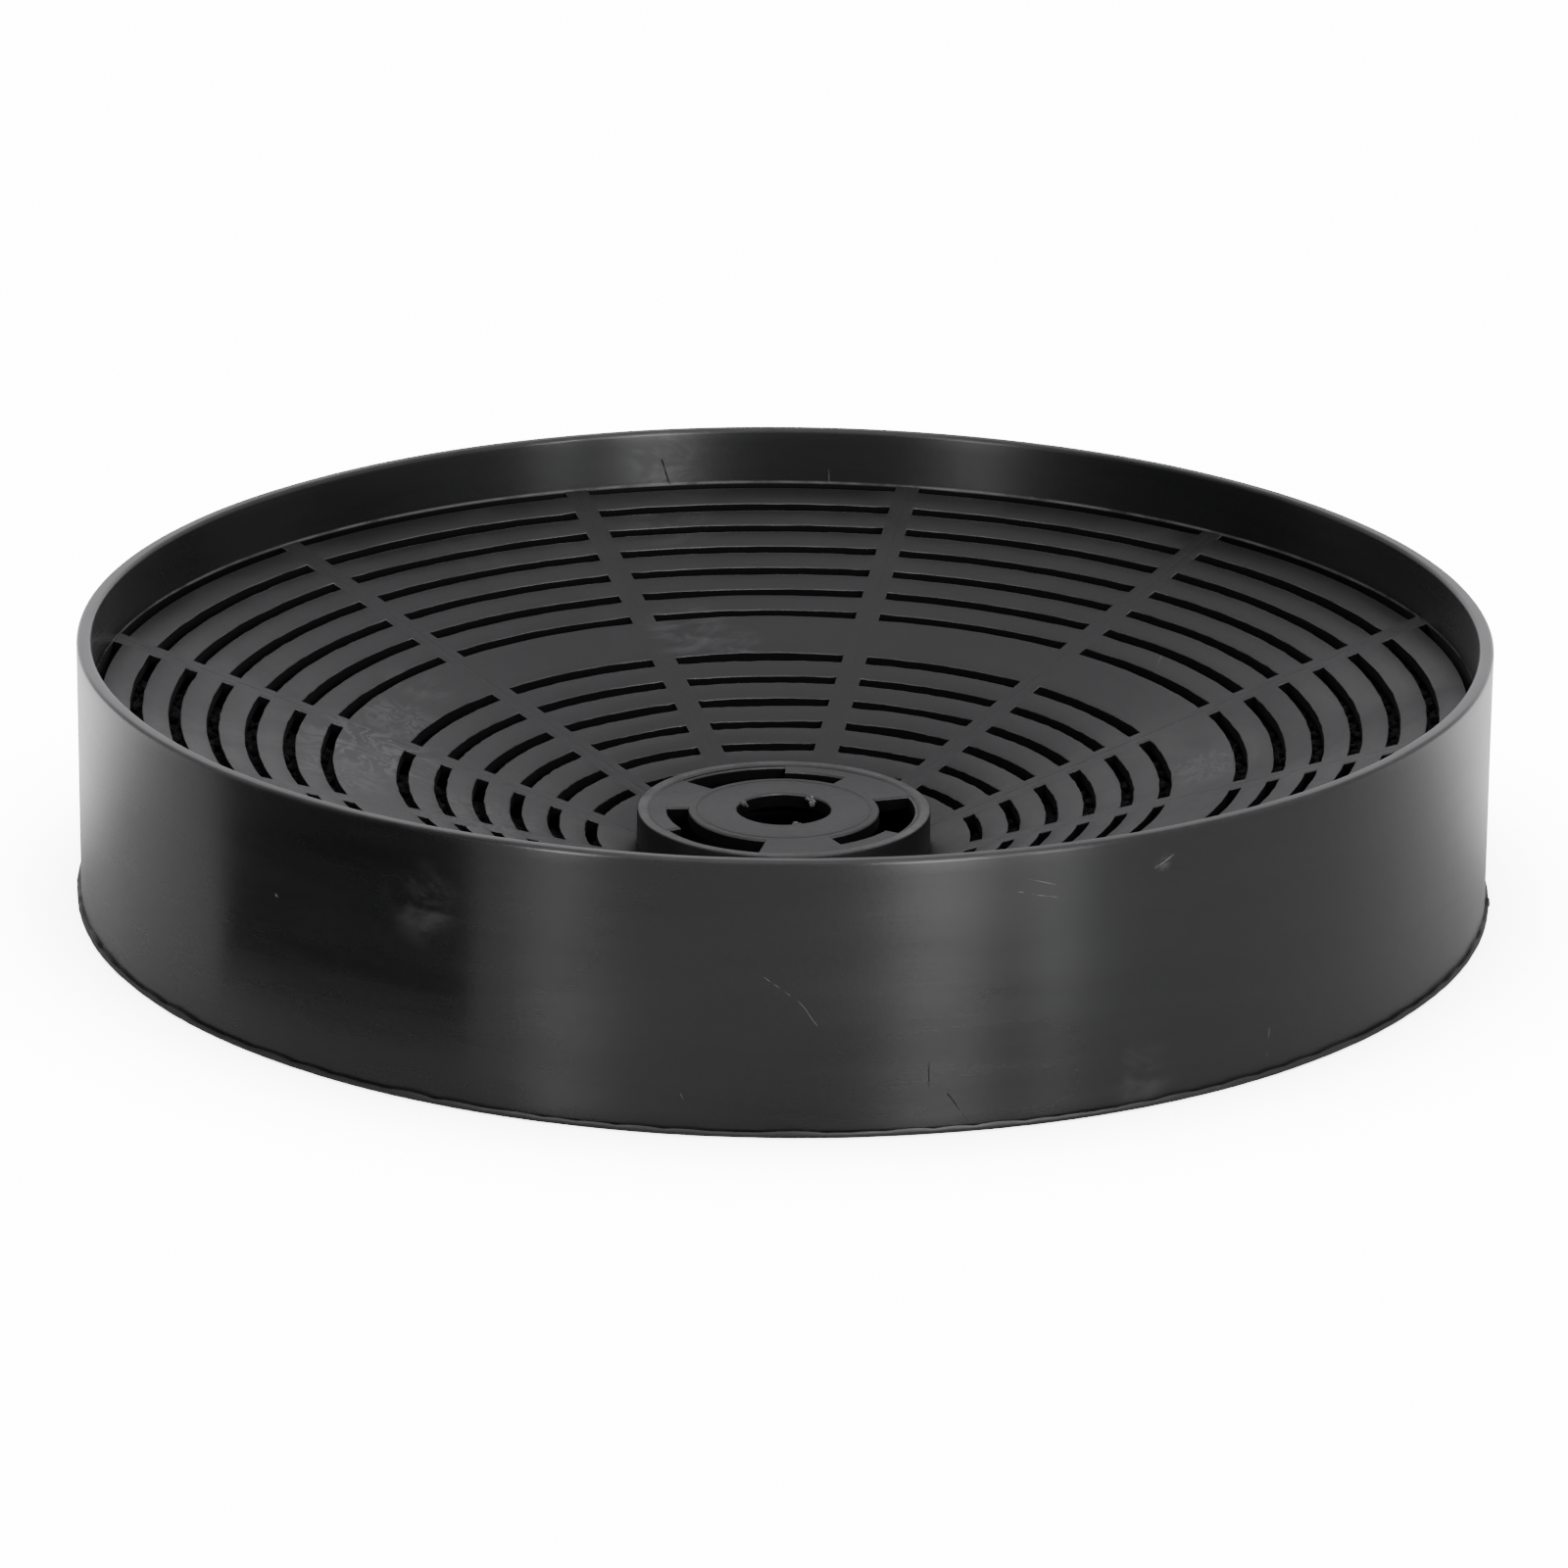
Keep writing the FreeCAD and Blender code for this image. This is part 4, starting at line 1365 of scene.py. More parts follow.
@dataclass
class BayonetHub:
    """The raised hub: a plate with a bore and three keyholes, and a lip round it.

    Lengths are in millimetres. A keyhole runs through the three key angles, in degrees: narrow from
    the first to the second, wide from there to the third.
    """

    bore: float = 7.0
    outer: float = 21.8
    inner: float = 19.7
    foot: float = 1.85
    face: float = 11.5
    under: float = 9.5
    lip: float = 0.3
    lip_inner: float = 20.45
    foot_rounding: float = 0.1
    rounding: float = 0.3
    plate_edge: float = 20.7
    dishing: float = 0.06
    groove: float = 12.97
    groove_depth: float = 0.09
    groove_width: float = 0.1
    keyholes: int = 3
    key_inner: float = 14.2
    key_wide: float = 19.5
    key_narrow: float = 17.4
    key_angles: tuple[float, float, float] = (70.0, 100.5, 150.0)
    finish: MouldedPlastic = MouldedPlastic(
        "hub_plastic",
        colour=(0.006, 0.0061, 0.0065),
        roughness=0.44,
        marks=0.00004,
        smudge=0.75,
        scratch=0.2,
        dust=0.006,
        edge_lightening=0.08,
    )

    def build(self) -> bpy.types.Object:
        """Builds the pierced plate as a polar grid and the wall and lip as a revolved outline.

        Returns:
            The finished hub.
        """
        shell = Shell()
        self.add_plate(shell)
        self.add_wall(shell)
        piece = shell.make_piece("hub_face")
        mount(piece, "hub_plastic", self.finish.make(), "bayonet_hub")
        return piece

    def add_wall(self, shell: Shell) -> None:
        """Adds the hub's wall with its lip.

        Args:
            shell: Shell that takes it in.
        """
        crest = self.face + self.lip
        corners = [
            (self.lip_inner, crest - 0.08, 0.25),
            (self.outer, crest - 0.1, 0.3),
            (self.outer, self.foot, self.foot_rounding),
            (self.inner, self.foot, self.foot_rounding),
            (self.inner, self.under + 0.6, 0.0),
            (self.inner + 0.2, self.under + 0.9, 0.0),
            (self.inner + 0.2, self.face - 0.05, 0.0),
        ]
        outline = add_rows(round_corners(corners, 6), 1.2 * MM)
        radius, height = outline.T / MM
        # The lip is lighter towards its crest: partly wear, partly painted highlight.
        edge = np.clip((height - self.face) / self.lip, 0.0, 0.6)
        # Painted shade on the faces that line the hub's inside.
        farther = np.maximum(radius, np.roll(radius, -1))
        lined = (farther < self.inner + 0.3) & (np.roll(height, -1) < self.face)
        radial = Unevenness(41, 0.03 * MM, 2, 16)
        shell.add_revolved(outline, 240, radial=radial, edge=edge, recess_shade=lined * 1.0)

    def add_plate(self, shell: Shell) -> None:
        """Adds the plate. Rows and columns lie close together beside the keyholes and the bore.

        Args:
            shell: Shell that takes it in.
        """
        steps = EDGE_STEPS * self.rounding
        radii = np.unique(np.round(np.concatenate([
            self.bore + steps,
            np.linspace(self.bore + 0.8, self.groove - 0.37, 6),
            self.groove + np.array([-0.12, 0.0, 0.12, 0.33, 0.73]),
            self.key_inner - steps,
            np.linspace(self.key_inner, self.key_narrow, 5),
            self.key_narrow + steps,
            np.linspace(self.key_narrow + 0.4, self.key_wide, 4),
            self.key_wide + steps[:2],
            [self.inner + 0.6, self.plate_edge],
        ]), 4))
        sector = 360.0 / self.keyholes
        fine = np.array([0.0, 0.2, 0.55, 1.1])
        beside = [turn + side * fine for turn in self.key_angles for side in (-1.0, 1.0)]
        even = np.linspace(0.0, sector, 41)[:-1]
        marks = np.unique(np.round(np.concatenate([even, *beside]) % sector, 4))
        degrees = np.concatenate([marks + sector * k for k in range(self.keyholes)])
        radius, angle = radii[:, None], np.radians(degrees)[None]
        away, holes = self.distance_to_holes(radius, degrees[None])
        fall = rounded_fall(away, self.rounding)
        groove = self.groove_depth * np.exp(-(((radius - self.groove) / self.groove_width) ** 2))
        dish = self.dishing * np.cos((radius - self.bore) / (self.plate_edge - self.bore) * math.pi)
        wave = Unevenness(42, 0.04, 2, 5).at(angle)
        top = on_circle(radius * MM, angle, (self.face - fall - groove + dish + wave) * MM)
        bottom = on_circle(radius * MM, angle, self.under * MM)
        # Keyhole and bore edges lighter, partly wear and partly painted highlight; the underside and hole
        # walls take painted shade.
        shell.add_slab(top, bottom, ~holes, edge=np.clip(fall / self.rounding * 1.6, 0.0, 1.0))

    def distance_to_holes(self, radius: np.ndarray, degrees: np.ndarray) -> tuple[np.ndarray, np.ndarray]:
        """Distance from each grid point to the nearest keyhole or the bore, and the open gaps.

        A keyhole is a wide part and a narrow part side by side, each a piece of a ring.

        Args:
            radius: Radii of the rows, in millimetres.
            degrees: Angles of the columns.

        Returns:
            Distances in millimetres, and for each gap of the grid whether it is open.
        """
        start, step, end = self.key_angles
        sector = 360.0 / self.keyholes
        away = radius - self.bore
        gap_degrees = 0.5 * (degrees + np.append(degrees[0, 1:], degrees[0, 0] + 360.0)[None])
        gap_radius = 0.5 * (radius[1:] + radius[:-1])
        holes = np.zeros((len(radius) - 1, degrees.shape[1]), bool)
        for first, last, outer in ((step, end, self.key_wide), (start, step, self.key_narrow)):
            for turn in sector * np.arange(-1, self.keyholes):
                low, high = first + turn, last + turn
                along = np.radians(np.maximum(np.maximum(low - degrees, degrees - high), 0.0)) * radius
                across = np.maximum(np.maximum(self.key_inner - radius, radius - outer), 0.0)
                away = np.minimum(away, np.hypot(along, across))
                turned_to = (gap_degrees > low) & (gap_degrees < high)
                holes |= turned_to & (gap_radius > self.key_inner) & (gap_radius < outer)
        return away, holes


@dataclass
class GateStubs:
    """Three torn stubs left at the bore where the plastic was let into the mould.

    Attributes:
        places: Angle in degrees, distance from the axis in millimetres, size and sag of each stub.
        finish: The stubs' plastic, whitened where it tore.
    """

    places: tuple[tuple[float, float, float, float], ...] = (
        (61.0, 6.55, 1.05, 0.8),
        (-61.0, 6.75, 0.8, 0.5),
        (161.0, 6.7, 0.75, 0.6),
    )
    finish: MouldedPlastic = MouldedPlastic(
        "stub_plastic", colour=(0.03, 0.03, 0.031), roughness=0.38, smudge=0.9, dust=0.05, edge_lightening=0.16
    )

    def build(self, hub: BayonetHub) -> bpy.types.Object:
        """Sets a few torn lumps on the bore's edge at each stub.

        Args:
            hub: The hub that carries them.

        Returns:
            The finished stubs, as one piece.
        """
        shell = Shell()
        rng = np.random.default_rng(51)
        for number, (degrees, radius, size, sag) in enumerate(self.places):
            angle = math.radians(degrees)
            for part in range(3):
                lean = rng.uniform(-0.09, 0.09)
                height = hub.face - 0.15 - 0.45 * sag * part
                centre = on_circle((radius - 0.15 * part) * MM, angle + lean, height * MM)
                half = np.array([0.62, 0.62, 0.5]) * size * (1.0 - 0.2 * part) * MM
                shell.add_lump(centre, half, 60 + 5 * number + part, 0.45)
        piece = shell.make_piece("gate_stubs", weld=True, crease=25.0)
        mount(piece, "hub_plastic", self.finish.make())
        return piece


@dataclass
class RearCover:
    """The closed side: a slotted plate with an uneven flange, a spigot and a boss.

    Lengths are in millimetres and angles in degrees. The spigot and the boss are given by their
    inner radius, outer radius and top.
    """

    pattern: SlotPattern = SlotPattern(rounding=0.3, arc_parts=14)
    plate_edge: float = 101.9
    thickness: float = 1.8
    flange: float = 104.78
    flange_thickness: float = 0.8
    tab_reach: float = 105.0
    tab_angles: tuple[float, float] = (181.0, 196.0)
    spur_angle: float = 6.5
    spur_width: float = 0.35
    root: float = 0.9
    spigot: tuple[float, float, float] = (100.15, 101.9, 5.0)
    bead: float = 101.95
    bead_height: float = 3.6
    boss: tuple[float, float, float] = (18.05, 19.65, 4.4)
    finish: MouldedPlastic = MouldedPlastic(
        "cover_plastic", colour=(0.004, 0.0041, 0.0044), roughness=0.45, scratch=0.3
    )

    def build(self) -> bpy.types.Object:
        """Builds the plate, the flange, the spigot with its bead and the boss.

        Returns:
            The finished cover.
        """
        shell = Shell()
        self.add_plate(shell)
        self.add_flange(shell)
        inner, outer, top = self.spigot
        spigot = [
            (inner, top, 0.3),
            (outer, top, 0.4),
            (outer, self.bead_height + 0.5, 0.0),
            (self.bead, self.bead_height, 0.0),
            (outer, self.bead_height - 0.5, 0.0),
            (outer, self.root, 0.0),
            (inner, self.root, 0.0),
        ]
        # The spigot and the boss stand inside the cartridge and take painted shade all over.
        shell.add_revolved(round_corners(spigot, 3), 360, recess_shade=1.0)
        inner, outer, top = self.boss
        boss = [(inner, top, 0.3), (outer, top, 0.3), (outer, self.root, 0.0), (inner, self.root, 0.0)]
        shell.add_revolved(round_corners(boss, 3), 144, recess_shade=1.0)
        piece = shell.make_piece("cover_plate", weld=True)
        mount(piece, "cover_plastic", self.finish.make(), "rear_cover")
        return piece

    def add_plate(self, shell: Shell) -> None:
        """Adds the flat slotted plate, its slot edges rounded on the underside.

        Args:
            shell: Shell that takes it in.
        """
        openings = self.pattern.slots()
        radii = self.pattern.rows(8.0, self.plate_edge, openings)
        angles, away, _, between = self.pattern.columns(radii)
        fall = self.pattern.drop(radii, away, openings) * MM
        radius, thick = radii[:, None] * MM, self.thickness * MM
        centre = np.zeros((1, angles.shape[1], 3))
        top = np.concatenate([centre + [0.0, 0.0, thick], on_circle(radius, angles, thick)])
        bottom = np.concatenate([centre, on_circle(radius, angles, fall)])
        solid = self.pattern.solid(radii, between, openings)
        keep = np.concatenate([np.ones((1, len(between)), bool), solid])
        # Painted shade on the upper face, which faces the inside, and on the slot walls.
        shell.add_slab(top, bottom, keep, inside=(1.0, 0.0, 1.0))

    def add_flange(self, shell: Shell) -> None:
        """Adds the flange under the wall: its edge wanders, with one short tab and one thin spur.

        Args:
            shell: Shell that takes it in.
        """
        cols = 900
        angle = np.arange(cols) * TURN / cols
        degrees = np.degrees(angle)
        low, high = self.tab_angles
        tab = np.clip((degrees - low) / 4.0, 0.0, 1.0) * np.clip((high - degrees) / 3.0, 0.0, 1.0)
        spur = np.exp(-(((degrees - self.spur_angle) / self.spur_width) ** 2))
        edge = self.flange * MM + Unevenness(71, 0.05 * MM, 5, 30).at(angle)
        edge = edge + Unevenness(72, 0.03 * MM, 60, 200).at(angle)
        edge = np.minimum(edge + tab * (self.tab_reach - self.flange) * MM, self.tab_reach * MM)
        edge = edge + spur * (self.tab_reach * MM - edge) * 0.95
        crest = self.flange_thickness * MM
        skirt = np.abs(Unevenness(73, 0.35 * MM, 9, 60).at(angle)) + 0.7 * MM * spur + 0.5 * MM * tab
        rows = [
            on_circle(self.plate_edge * MM, angle, crest),
            on_circle(104.0 * MM, angle, crest),
            on_circle(104.18 * MM, angle, crest + skirt),
            on_circle(edge - 0.12 * MM, angle, crest + skirt * 0.9),
            on_circle(edge, angle, crest - 0.15 * MM),
            on_circle(edge - 0.02 * MM, angle, 0.15 * MM),
            on_circle(edge - 0.15 * MM, angle, 0.0),
            on_circle(self.plate_edge * MM, angle, 0.0),
        ]
        shell.add(np.stack(rows), grid_faces(len(rows), cols, True, True))


@dataclass
class DustFleece:
    """The ring of fleece that keeps charcoal dust in, laid on the back cover.

    Lengths are in millimetres.
    """

    inner: float = 21.9
    outer: float = 99.95
    low: float = 1.9
    high: float = 2.6
    finish: NeedledFleece = NeedledFleece()

    def build(self) -> bpy.types.Object:
        """Makes the cut ring of fleece: two gently uneven faces a fleece's thickness apart.

        Returns:
            The finished sheet.
        """
        radii = np.linspace(self.inner, self.outer, 30) * MM
        angle = np.arange(180) * TURN / 180
        sway = Unevenness(81, 0.02 * MM, 3, 40).at(angle[None], radii[:, None] * 300.0)
        top = on_circle(radii[:, None], angle[None], self.high * MM + sway)
        bottom = on_circle(radii[:, None], angle[None], self.low * MM + sway)
        shell = Shell()
        shell.add_slab(top, bottom)
        piece = shell.make_piece("fleece_disc")
        mount(piece, "fleece", self.finish.make(), "dust_fleece")
        return piece


@dataclass
class PartitionFrame:
    """The ring and ribs that part the charges. The CAD solid is kept and gets its plastic."""

    finish: MouldedPlastic = MouldedPlastic(
        "rib_plastic", colour=(0.003, 0.0031, 0.0033), roughness=0.48, smudge=0.3, dust=0.0, edge_lightening=0.0
    )

    def dress(self) -> None:
        """Assigns the plastic to the kept CAD node."""
        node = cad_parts["partition_frame"]
        node.data.materials.clear()
        node.data.materials.append(self.finish.make())
        LOG.info("partition_frame: kept as it is, in %s", self.finish.name)


@dataclass
class CharcoalCharges:
    """Twelve wedge-shaped charges of broken charcoal between the ribs.

    Lengths are in millimetres, and span is the angle of a wedge in degrees.
    """

    count: int = 12
    inner: float = 23.6
    outer: float = 99.85
    low: float = 2.7
    span: float = 26.0
    clearance: float = 0.25
    sink: float = 1.9
    spacing: float = 2.25
    margin: float = 1.4
    finish: BrokenCharcoal = BrokenCharcoal()

    def build(self, grille: FrontGrille) -> list[bpy.types.Object]:
        """Builds each charge as a bumpy bed with granules lying on it.

        Args:
            grille: The grille above, whose underside limits the heap.

        Returns:
            The twelve pieces.
        """
        material = self.finish.make()
        pieces = []
        for number in range(self.count):
            middle = TURN * (number + 0.5) / self.count
            rng = np.random.default_rng(300 + number)
            shell = Shell()
            self.add_bed(shell, grille, middle, rng)
            self.add_granules(shell, grille, middle, rng)
            name = f"charge_{number + 1:02d}"
            piece = shell.make_piece(name, crease=20.0)
            mount(piece, "charcoal", material, f"charcoal_{name}")
            pieces.append(piece)
        return pieces

    def ceiling(self, grille: FrontGrille, radius: np.ndarray) -> np.ndarray:
        """Highest point that charcoal may reach at a radius, in metres."""
        return grille.cone(radius) - (grille.thickness + self.clearance) * MM

    def add_bed(self, shell: Shell, grille: FrontGrille, middle: float, rng: np.random.Generator) -> None:
        """Adds the bed: a wedge whose top follows the ceiling about one sink lower, with bumps.

        Args:
            shell: Shell that takes it in.
            grille: The grille above.
            middle: Angle of the wedge's middle, in radians.
            rng: Source of the bumps.
        """
        radii = np.linspace(self.inner + 0.1, self.outer - 0.1, 56)[:, None] * MM
        half = math.radians(0.5 * self.span) - 0.15 * MM / radii
        angle = middle + half * np.linspace(-1.0, 1.0, 34)[None]
        room = self.ceiling(grille, radii) - self.low * MM
        sink = np.minimum(self.sink * MM, 0.75 * room) * (1.0 + 0.25 * rng.uniform(-1.0, 1.0, angle.shape))
        top = on_circle(radii, angle, self.ceiling(grille, radii) - sink)
        bottom = on_circle(radii, angle, self.low * MM + 0.05 * MM)
        shell.add_slab(top, bottom, ring=False)

    def add_granules(
        self, shell: Shell, grille: FrontGrille, middle: float, rng: np.random.Generator
    ) -> None:
        """Adds the top layer: broken twenty-sided grains, stretched, turned and set down by chance.

        Grains start on a staggered grid and are pushed about by up to a third of its spacing.

        Args:
            shell: Shell that takes them in.
            grille: The grille above.
            middle: Angle of the wedge's middle, in radians.
            rng: Source of every chance value.
        """
        base, sides = self.grain_shape()
        reach = self.outer - self.margin
        x, y = np.meshgrid(np.arange(self.inner, reach, self.spacing), np.arange(-24.0, 24.0, self.spacing))
        x = x + 0.5 * self.spacing * (np.arange(x.shape[0]) % 2)[:, None]
        x = (x + rng.uniform(-0.7, 0.7, x.shape)).ravel()
        y = (y + rng.uniform(-0.7, 0.7, y.shape)).ravel()
        radius, turn = np.hypot(x, y), np.arctan2(y, x)
        room = math.radians(0.5 * self.span) - 1.35 / radius
        inside = (np.abs(turn) < room) & (radius > self.inner + self.margin) & (radius < reach)
        radius, turn = radius[inside], turn[inside]
        count = len(radius)
        clear = (self.ceiling(grille, radius * MM) / MM - self.low) * 0.42
        half = np.minimum(rng.uniform(0.75, 1.35, count), clear)
        stretch = half[:, None] * rng.uniform(0.72, 1.0, (count, 3))
        broken = base[None] * (1.0 + 0.22 * rng.uniform(-1.0, 0.6, (count, len(base), 1)))
        grains = np.einsum("nij,nkj->nki", self.turns(rng, count), broken * stretch[:, None])
        height = self.ceiling(grille, radius * MM) / MM - half - rng.uniform(0.05, 0.9, count) * half
        centres = on_circle(radius, turn + middle, height)
        points = (grains + centres[:, None]) * MM
        numbers = sides[None] + (np.arange(count) * len(base))[:, None, None]
        shell.add(points, numbers.reshape(-1, 3))

    def turns(self, rng: np.random.Generator, count: int) -> np.ndarray:
        """Chance turns in space, from unit quaternions (w, x, y, z) written out as matrices."""
        q = rng.normal(size=(4, count))
        w, x, y, z = q / np.linalg.norm(q, axis=0)
        rows = [
            [1 - 2 * (y * y + z * z), 2 * (x * y - w * z), 2 * (x * z + w * y)],
            [2 * (x * y + w * z), 1 - 2 * (x * x + z * z), 2 * (y * z - w * x)],
            [2 * (x * z - w * y), 2 * (y * z + w * x), 1 - 2 * (x * x + y * y)],
        ]
        return np.moveaxis(np.array(rows), 2, 0)

    def grain_shape(self) -> tuple[np.ndarray, np.ndarray]:
        """Points and faces of a twenty-sided grain of radius one."""
        work = bmesh.new()
        bmesh.ops.create_icosphere(work, subdivisions=1, radius=1.0)
        points = np.array([tuple(v.co) for v in work.verts])
        sides = np.array([[v.index for v in f.verts] for f in work.faces])
        work.free()
        return points, sides


# ---------------------------------------------------------------- studio


@dataclass(frozen=True)
class SoftLight:
    """A soft rectangular light aimed at the cartridge.

    Attributes:
        name: Name of the light.
        azimuth: Angle to the right of the camera, in degrees.
        elevation: Angle above the floor, in degrees.
        away: Distance from the cartridge, in metres.
        size: Width and height, in metres.
        power: Power, in watts.
    """

    name: str
    azimuth: float
    elevation: float
    away: float
    size: tuple[float, float]
    power: float


@dataclass
class Studio:
    """A pale floor, soft lights and a camera looking slightly down on the cartridge.

    Angles are in degrees; azimuth 0 looks along +Y and a positive azimuth turns the view left. The
    camera stands at its distance from the rim's middle and looks aim_down below it. The wall
    mirrors the dark card along its dark reach, and the room's dark side lies round the dark middle;
    both are angles to the left of the camera. Rim height, aim_down and lens are in millimetres,
    other lengths in metres.
    """

    azimuth: float = 10.9
    elevation: float = 17.86
    distance: float = 1.2233
    lens: float = 190.5
    roll: float = 0.52
    aim_down: float = 23.25
    rim_height: float = 40.0
    floor_half: float = 6.0
    floor_depth: float = 0.0002
    floor_glow: float = 14.0
    room_light: float = 0.75
    light_behind: float = 0.75
    floor_glow_behind: float = 1.9
    dark_reach: tuple[float, float] = (25.0, 50.5)
    card_start: float = 0.1052
    card_height: float = 0.0003
    card_distances: tuple[float, ...] = (0.025, 0.06, 0.2, 0.5, 1.2)
    dark_middle: float = 76.0
    lights: tuple[SoftLight, ...] = (
        SoftLight("strip_right", 23.5, 16.0, 1.3, (0.3, 0.75), 10.5),
        SoftLight("strip_far_right", 41.0, 16.0, 1.3, (0.04, 0.75), 4.0),
        SoftLight("strip_left", -33.5, 16.0, 1.3, (0.17, 0.75), 5.2),
        SoftLight("overhead", 0.0, 80.0, 1.6, (1.6, 1.6), 8.0),
    )

    def build(self) -> None:
        """Sets up the whole studio."""
        self.place_camera()
        self.lay_floor()
        for light in self.lights:
            self.hang_light(light)
        self.tint_surroundings()

    def towards(self, azimuth: float, elevation: float) -> Vector:
        """Direction from the cartridge to a place round it.

        Args:
            azimuth: Angle to the right of the camera, in degrees.
            elevation: Angle above the floor, in degrees.

        Returns:
            The direction, of length one.
        """
        a, e = math.radians(self.azimuth + azimuth), math.radians(elevation)
        return Vector((math.sin(a) * math.cos(e), -math.cos(a) * math.cos(e), math.sin(e)))

    def place_camera(self) -> None:
        """Places the camera on its sight line and tips it by its small roll."""
        back = self.towards(0.0, self.elevation)
        up = back.cross(self.towards(90.0, 0.0))
        rim = Vector((0.0, 0.0, self.rim_height * MM))
        eye = rim + back * self.distance
        target = rim - up * self.aim_down * MM
        ahead = (target - eye).normalized()
        level = ahead.cross(Vector((0.0, 0.0, 1.0))).normalized()
        over = level.cross(ahead)
        tip = math.radians(self.roll)
        side = level * math.cos(tip) + over * math.sin(tip)
        over = over * math.cos(tip) - level * math.sin(tip)
        data = bpy.data.cameras.new("studio_camera")
        data.lens = self.lens
        data.sensor_width = 36.0
        data.clip_start = 0.05
        data.clip_end = 20.0
        camera = put_in_scene("studio_camera", data)
        turned = Matrix((side, over, -ahead)).transposed()
        camera.matrix_world = Matrix.Translation(eye) @ turned.to_4x4()
        bpy.context.scene.camera = camera

    def lay_sheet(self, name: str, points: np.ndarray, material: bpy.types.Material) -> bpy.types.Object:
        """Lays a sheet that belongs to the studio.

        Args:
            name: Name of the object.
            points: A grid of points, in metres.
            material: Its material.

        Returns:
            The new object.
        """
        faces = grid_faces(*points.shape[:2], ring=False).reshape(-1, 4)
        mesh = bpy.data.meshes.new(name)
        mesh.from_pydata(points.reshape(-1, 3).tolist(), [], faces.tolist())
        mesh.materials.append(material)
        sheet = put_in_scene(name, mesh)
        return sheet

    def lay_floor(self) -> None:
        """Lays the pale floor, and a dark card beside the camera that only reflections see. The camera sees
        the floor glow evenly, less near the cartridge as a painted contact shadow; behind the cartridge it
        glows for reflections and bounce light only.
        """
        paper, bench, shader = open_material("pale_paper")
        shader.inputs["Base Color"].default_value = grey(0.62)
        shader.inputs["Roughness"].default_value = 0.9
        shader.inputs["Specular IOR Level"].default_value = 0.1
        shader.inputs["Emission Color"].default_value = grey(1.0)
        seen = bench.node("ShaderNodeLightPath").outputs["Is Camera Ray"]
        # Painted contact shadow: the camera sees less floor glow where the cartridge hems the floor in.
        close = bench.node("ShaderNodeAmbientOcclusion", {"Distance": 0.03}, samples=8).outputs["AO"]
        glow = bench.remap(close, 0.3, 1.0, self.floor_glow * 0.35, self.floor_glow)
        # Painted light: behind the cartridge the floor glows for reflections and bounce light, never for the
        # camera.
        depth = bench.vector("DOT_PRODUCT", bench.place(), self.towards(180.0, 0.0))
        behind = bench.remap(depth, -0.005, 0.07, 0.0, self.floor_glow_behind)
        behind = bench.math("MULTIPLY", behind, bench.math("SUBTRACT", 1.0, seen))
        strength = bench.math("ADD", bench.math("MULTIPLY", seen, glow), behind)
        bench.join(strength, shader.inputs["Emission Strength"])
        half, low = self.floor_half, -self.floor_depth
        corners = [[(x, y, low) for y in (-half, half)] for x in (-half, half)]
        self.lay_sheet("studio_floor", np.array(corners), paper)
        self.lay_dark_card()

    def lay_dark_card(self) -> None:
        """Lays a dark card on the floor, left of the camera, that only reflections see.

        It fans out from the wall: from the foot at each angle it runs on at twice that angle,
        which is where the wall sends the camera's sight line.
        """
        turn = np.radians(np.linspace(*self.dark_reach, 24))[None]
        start = math.radians(self.azimuth - 90.0)
        away = np.array(self.card_distances)[:, None]
        foot = on_circle(self.card_start, start - turn, self.card_height)
        felt, _, shader = open_material("dark_felt")
        shader.inputs["Base Color"].default_value = grey(0.05)
        shader.inputs["Roughness"].default_value = 1.0
        shader.inputs["Specular IOR Level"].default_value = 0.0
        card = self.lay_sheet("dark_card", foot + on_circle(away, start - 2.0 * turn, 0.0), felt)
        card.visible_camera = False
        card.visible_diffuse = False
        card.visible_shadow = False

    def hang_light(self, light: SoftLight) -> None:
        """Hangs a light, aimed just above the foot of the cartridge and unseen by the camera.

        Args:
            light: The light.
        """
        back = self.towards(light.azimuth, light.elevation)
        data = bpy.data.lights.new(light.name, "AREA")
        data.shape = "RECTANGLE"
        data.size, data.size_y = light.size
        data.energy = light.power
        lamp = put_in_scene(light.name, data)
        turned = back.to_track_quat("Z", "Y").to_matrix().to_4x4()
        lamp.matrix_world = Matrix.Translation(back * light.away + Vector((0, 0, 0.02))) @ turned
        lamp.visible_camera = False

    def tint_surroundings(self) -> None:
        """Fills the room with pale light: dark on one side, brighter low down behind the cartridge."""
        world = bpy.data.worlds.new("pale_room")
        world.use_nodes = True
        bench = Bench(world.node_tree)
        background = world.node_tree.nodes["Background"]
        background.inputs["Color"].default_value = (0.985, 0.97, 1.0, 1.0)
        sight = bench.node("ShaderNodeTexCoord").outputs["Generated"]
        facing = bench.vector("NORMALIZE", bench.vector("MULTIPLY", sight, (1, 1, 0)))
        side = bench.vector("DOT_PRODUCT", facing, self.towards(-self.dark_middle, 0.0))
        level = bench.remap(side, 0.88, 0.955, self.room_light, self.room_light * 0.12)
        height = bench.node("ShaderNodeSeparateXYZ", {0: sight}).outputs["Z"]
        behind = bench.vector("DOT_PRODUCT", facing, self.towards(180.0, 0.0))
        low = bench.remap(height, 0.38, 0.58, 1.0, 0.0)
        low = bench.math("MULTIPLY", low, bench.remap(behind, 0.7, 0.95, 0.0, 1.0))
        level = bench.math("ADD", level, bench.math("MULTIPLY", low, self.light_behind))
        bench.join(level, background.inputs["Strength"])
        bpy.context.scene.world = world


# ---------------------------------------------------------------- the whole cartridge


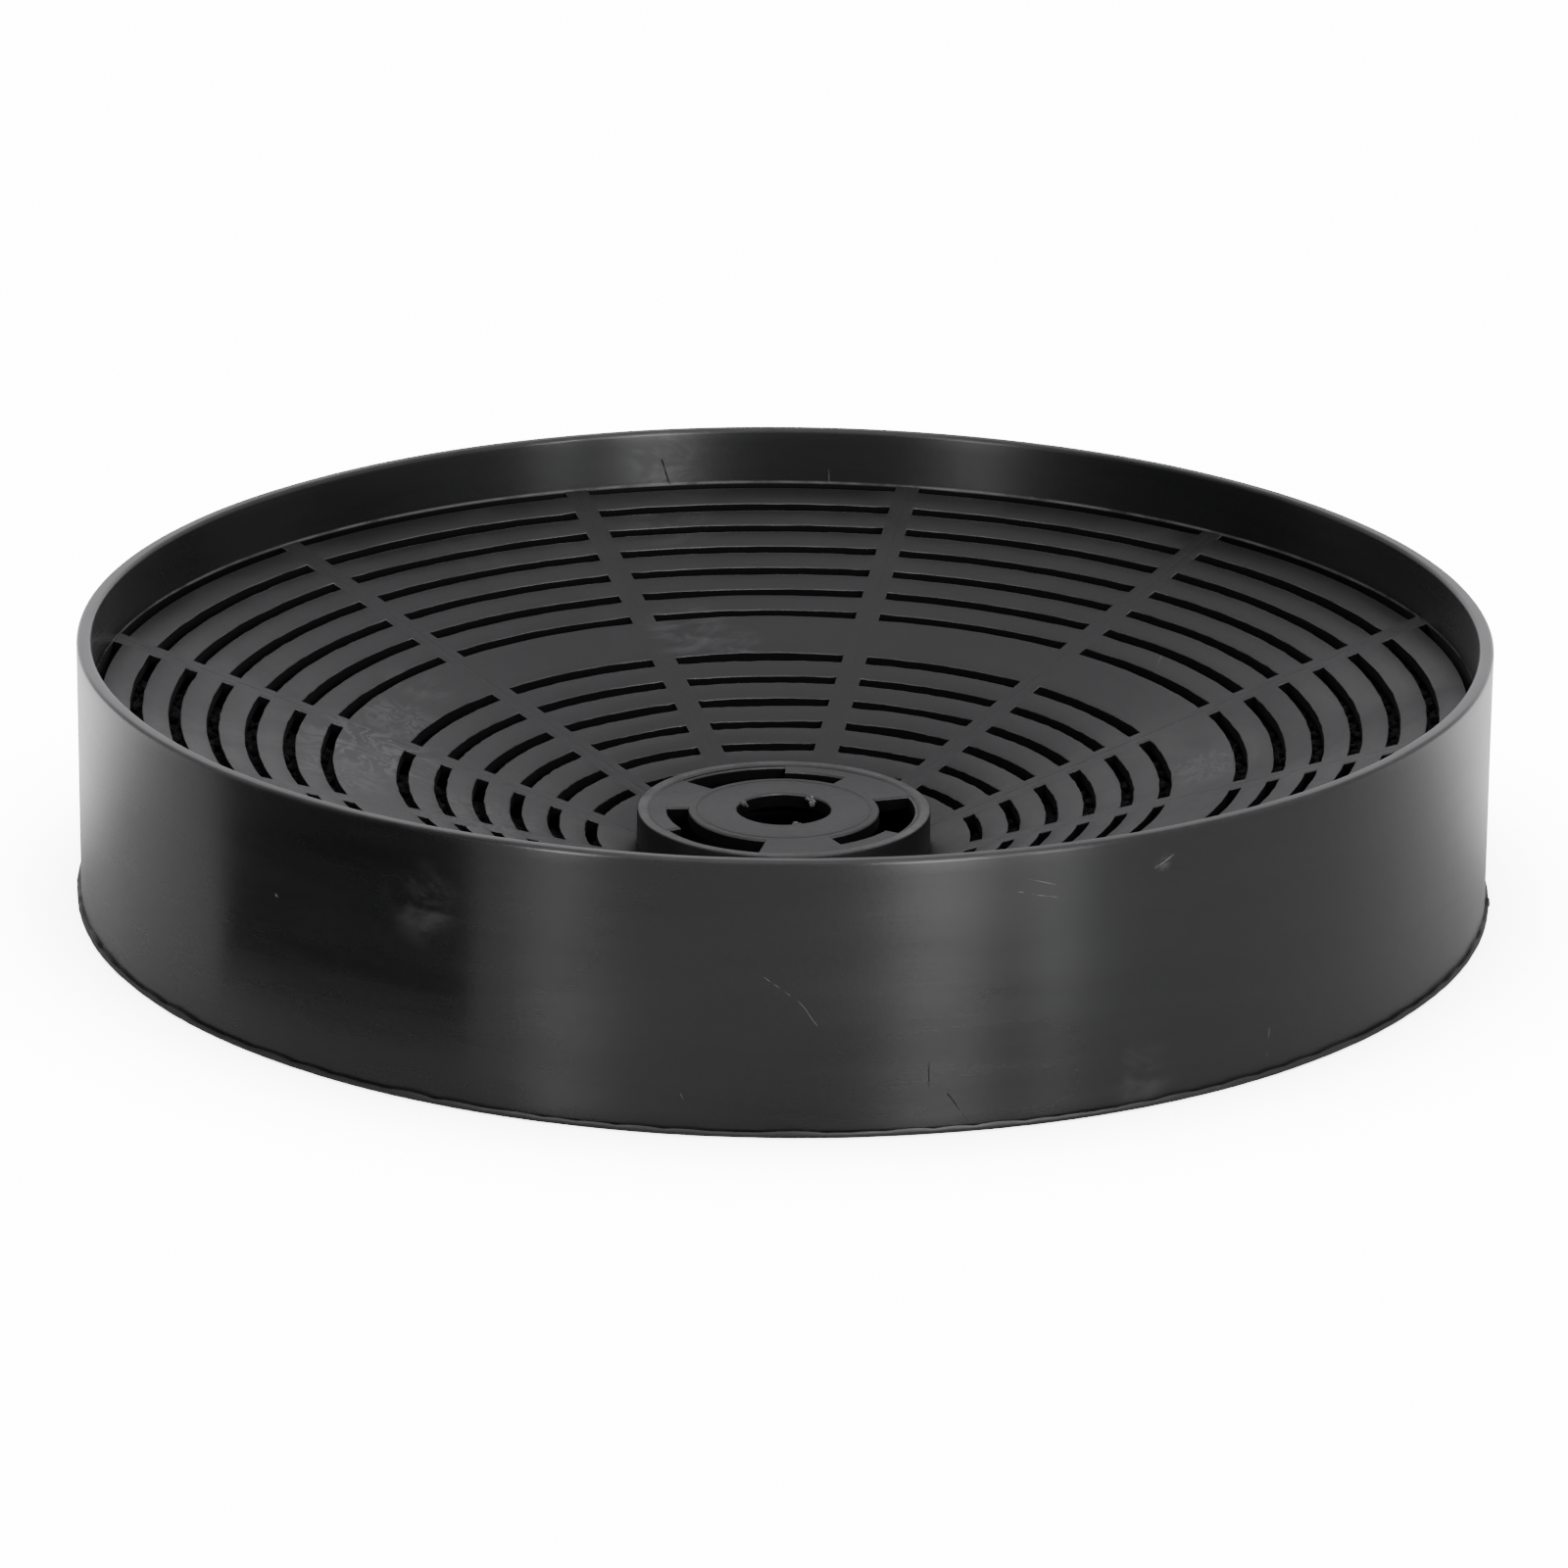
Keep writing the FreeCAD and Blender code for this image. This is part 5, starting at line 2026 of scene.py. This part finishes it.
def main() -> None:
    """Builds the studio and every piece in order."""
    logging.basicConfig(level=logging.INFO, format="%(name)s: %(message)s")
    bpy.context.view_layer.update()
    Studio().build()
    SurfaceEffects.make_all()
    hub = BayonetHub()
    grille = FrontGrille()
    CasingWall().build()
    grille.build()
    hub.build()
    GateStubs().build(hub)
    RearCover().build()
    DustFleece().build()
    PartitionFrame().dress()
    CharcoalCharges().build(grille)


if __name__ == "__main__":
    main()
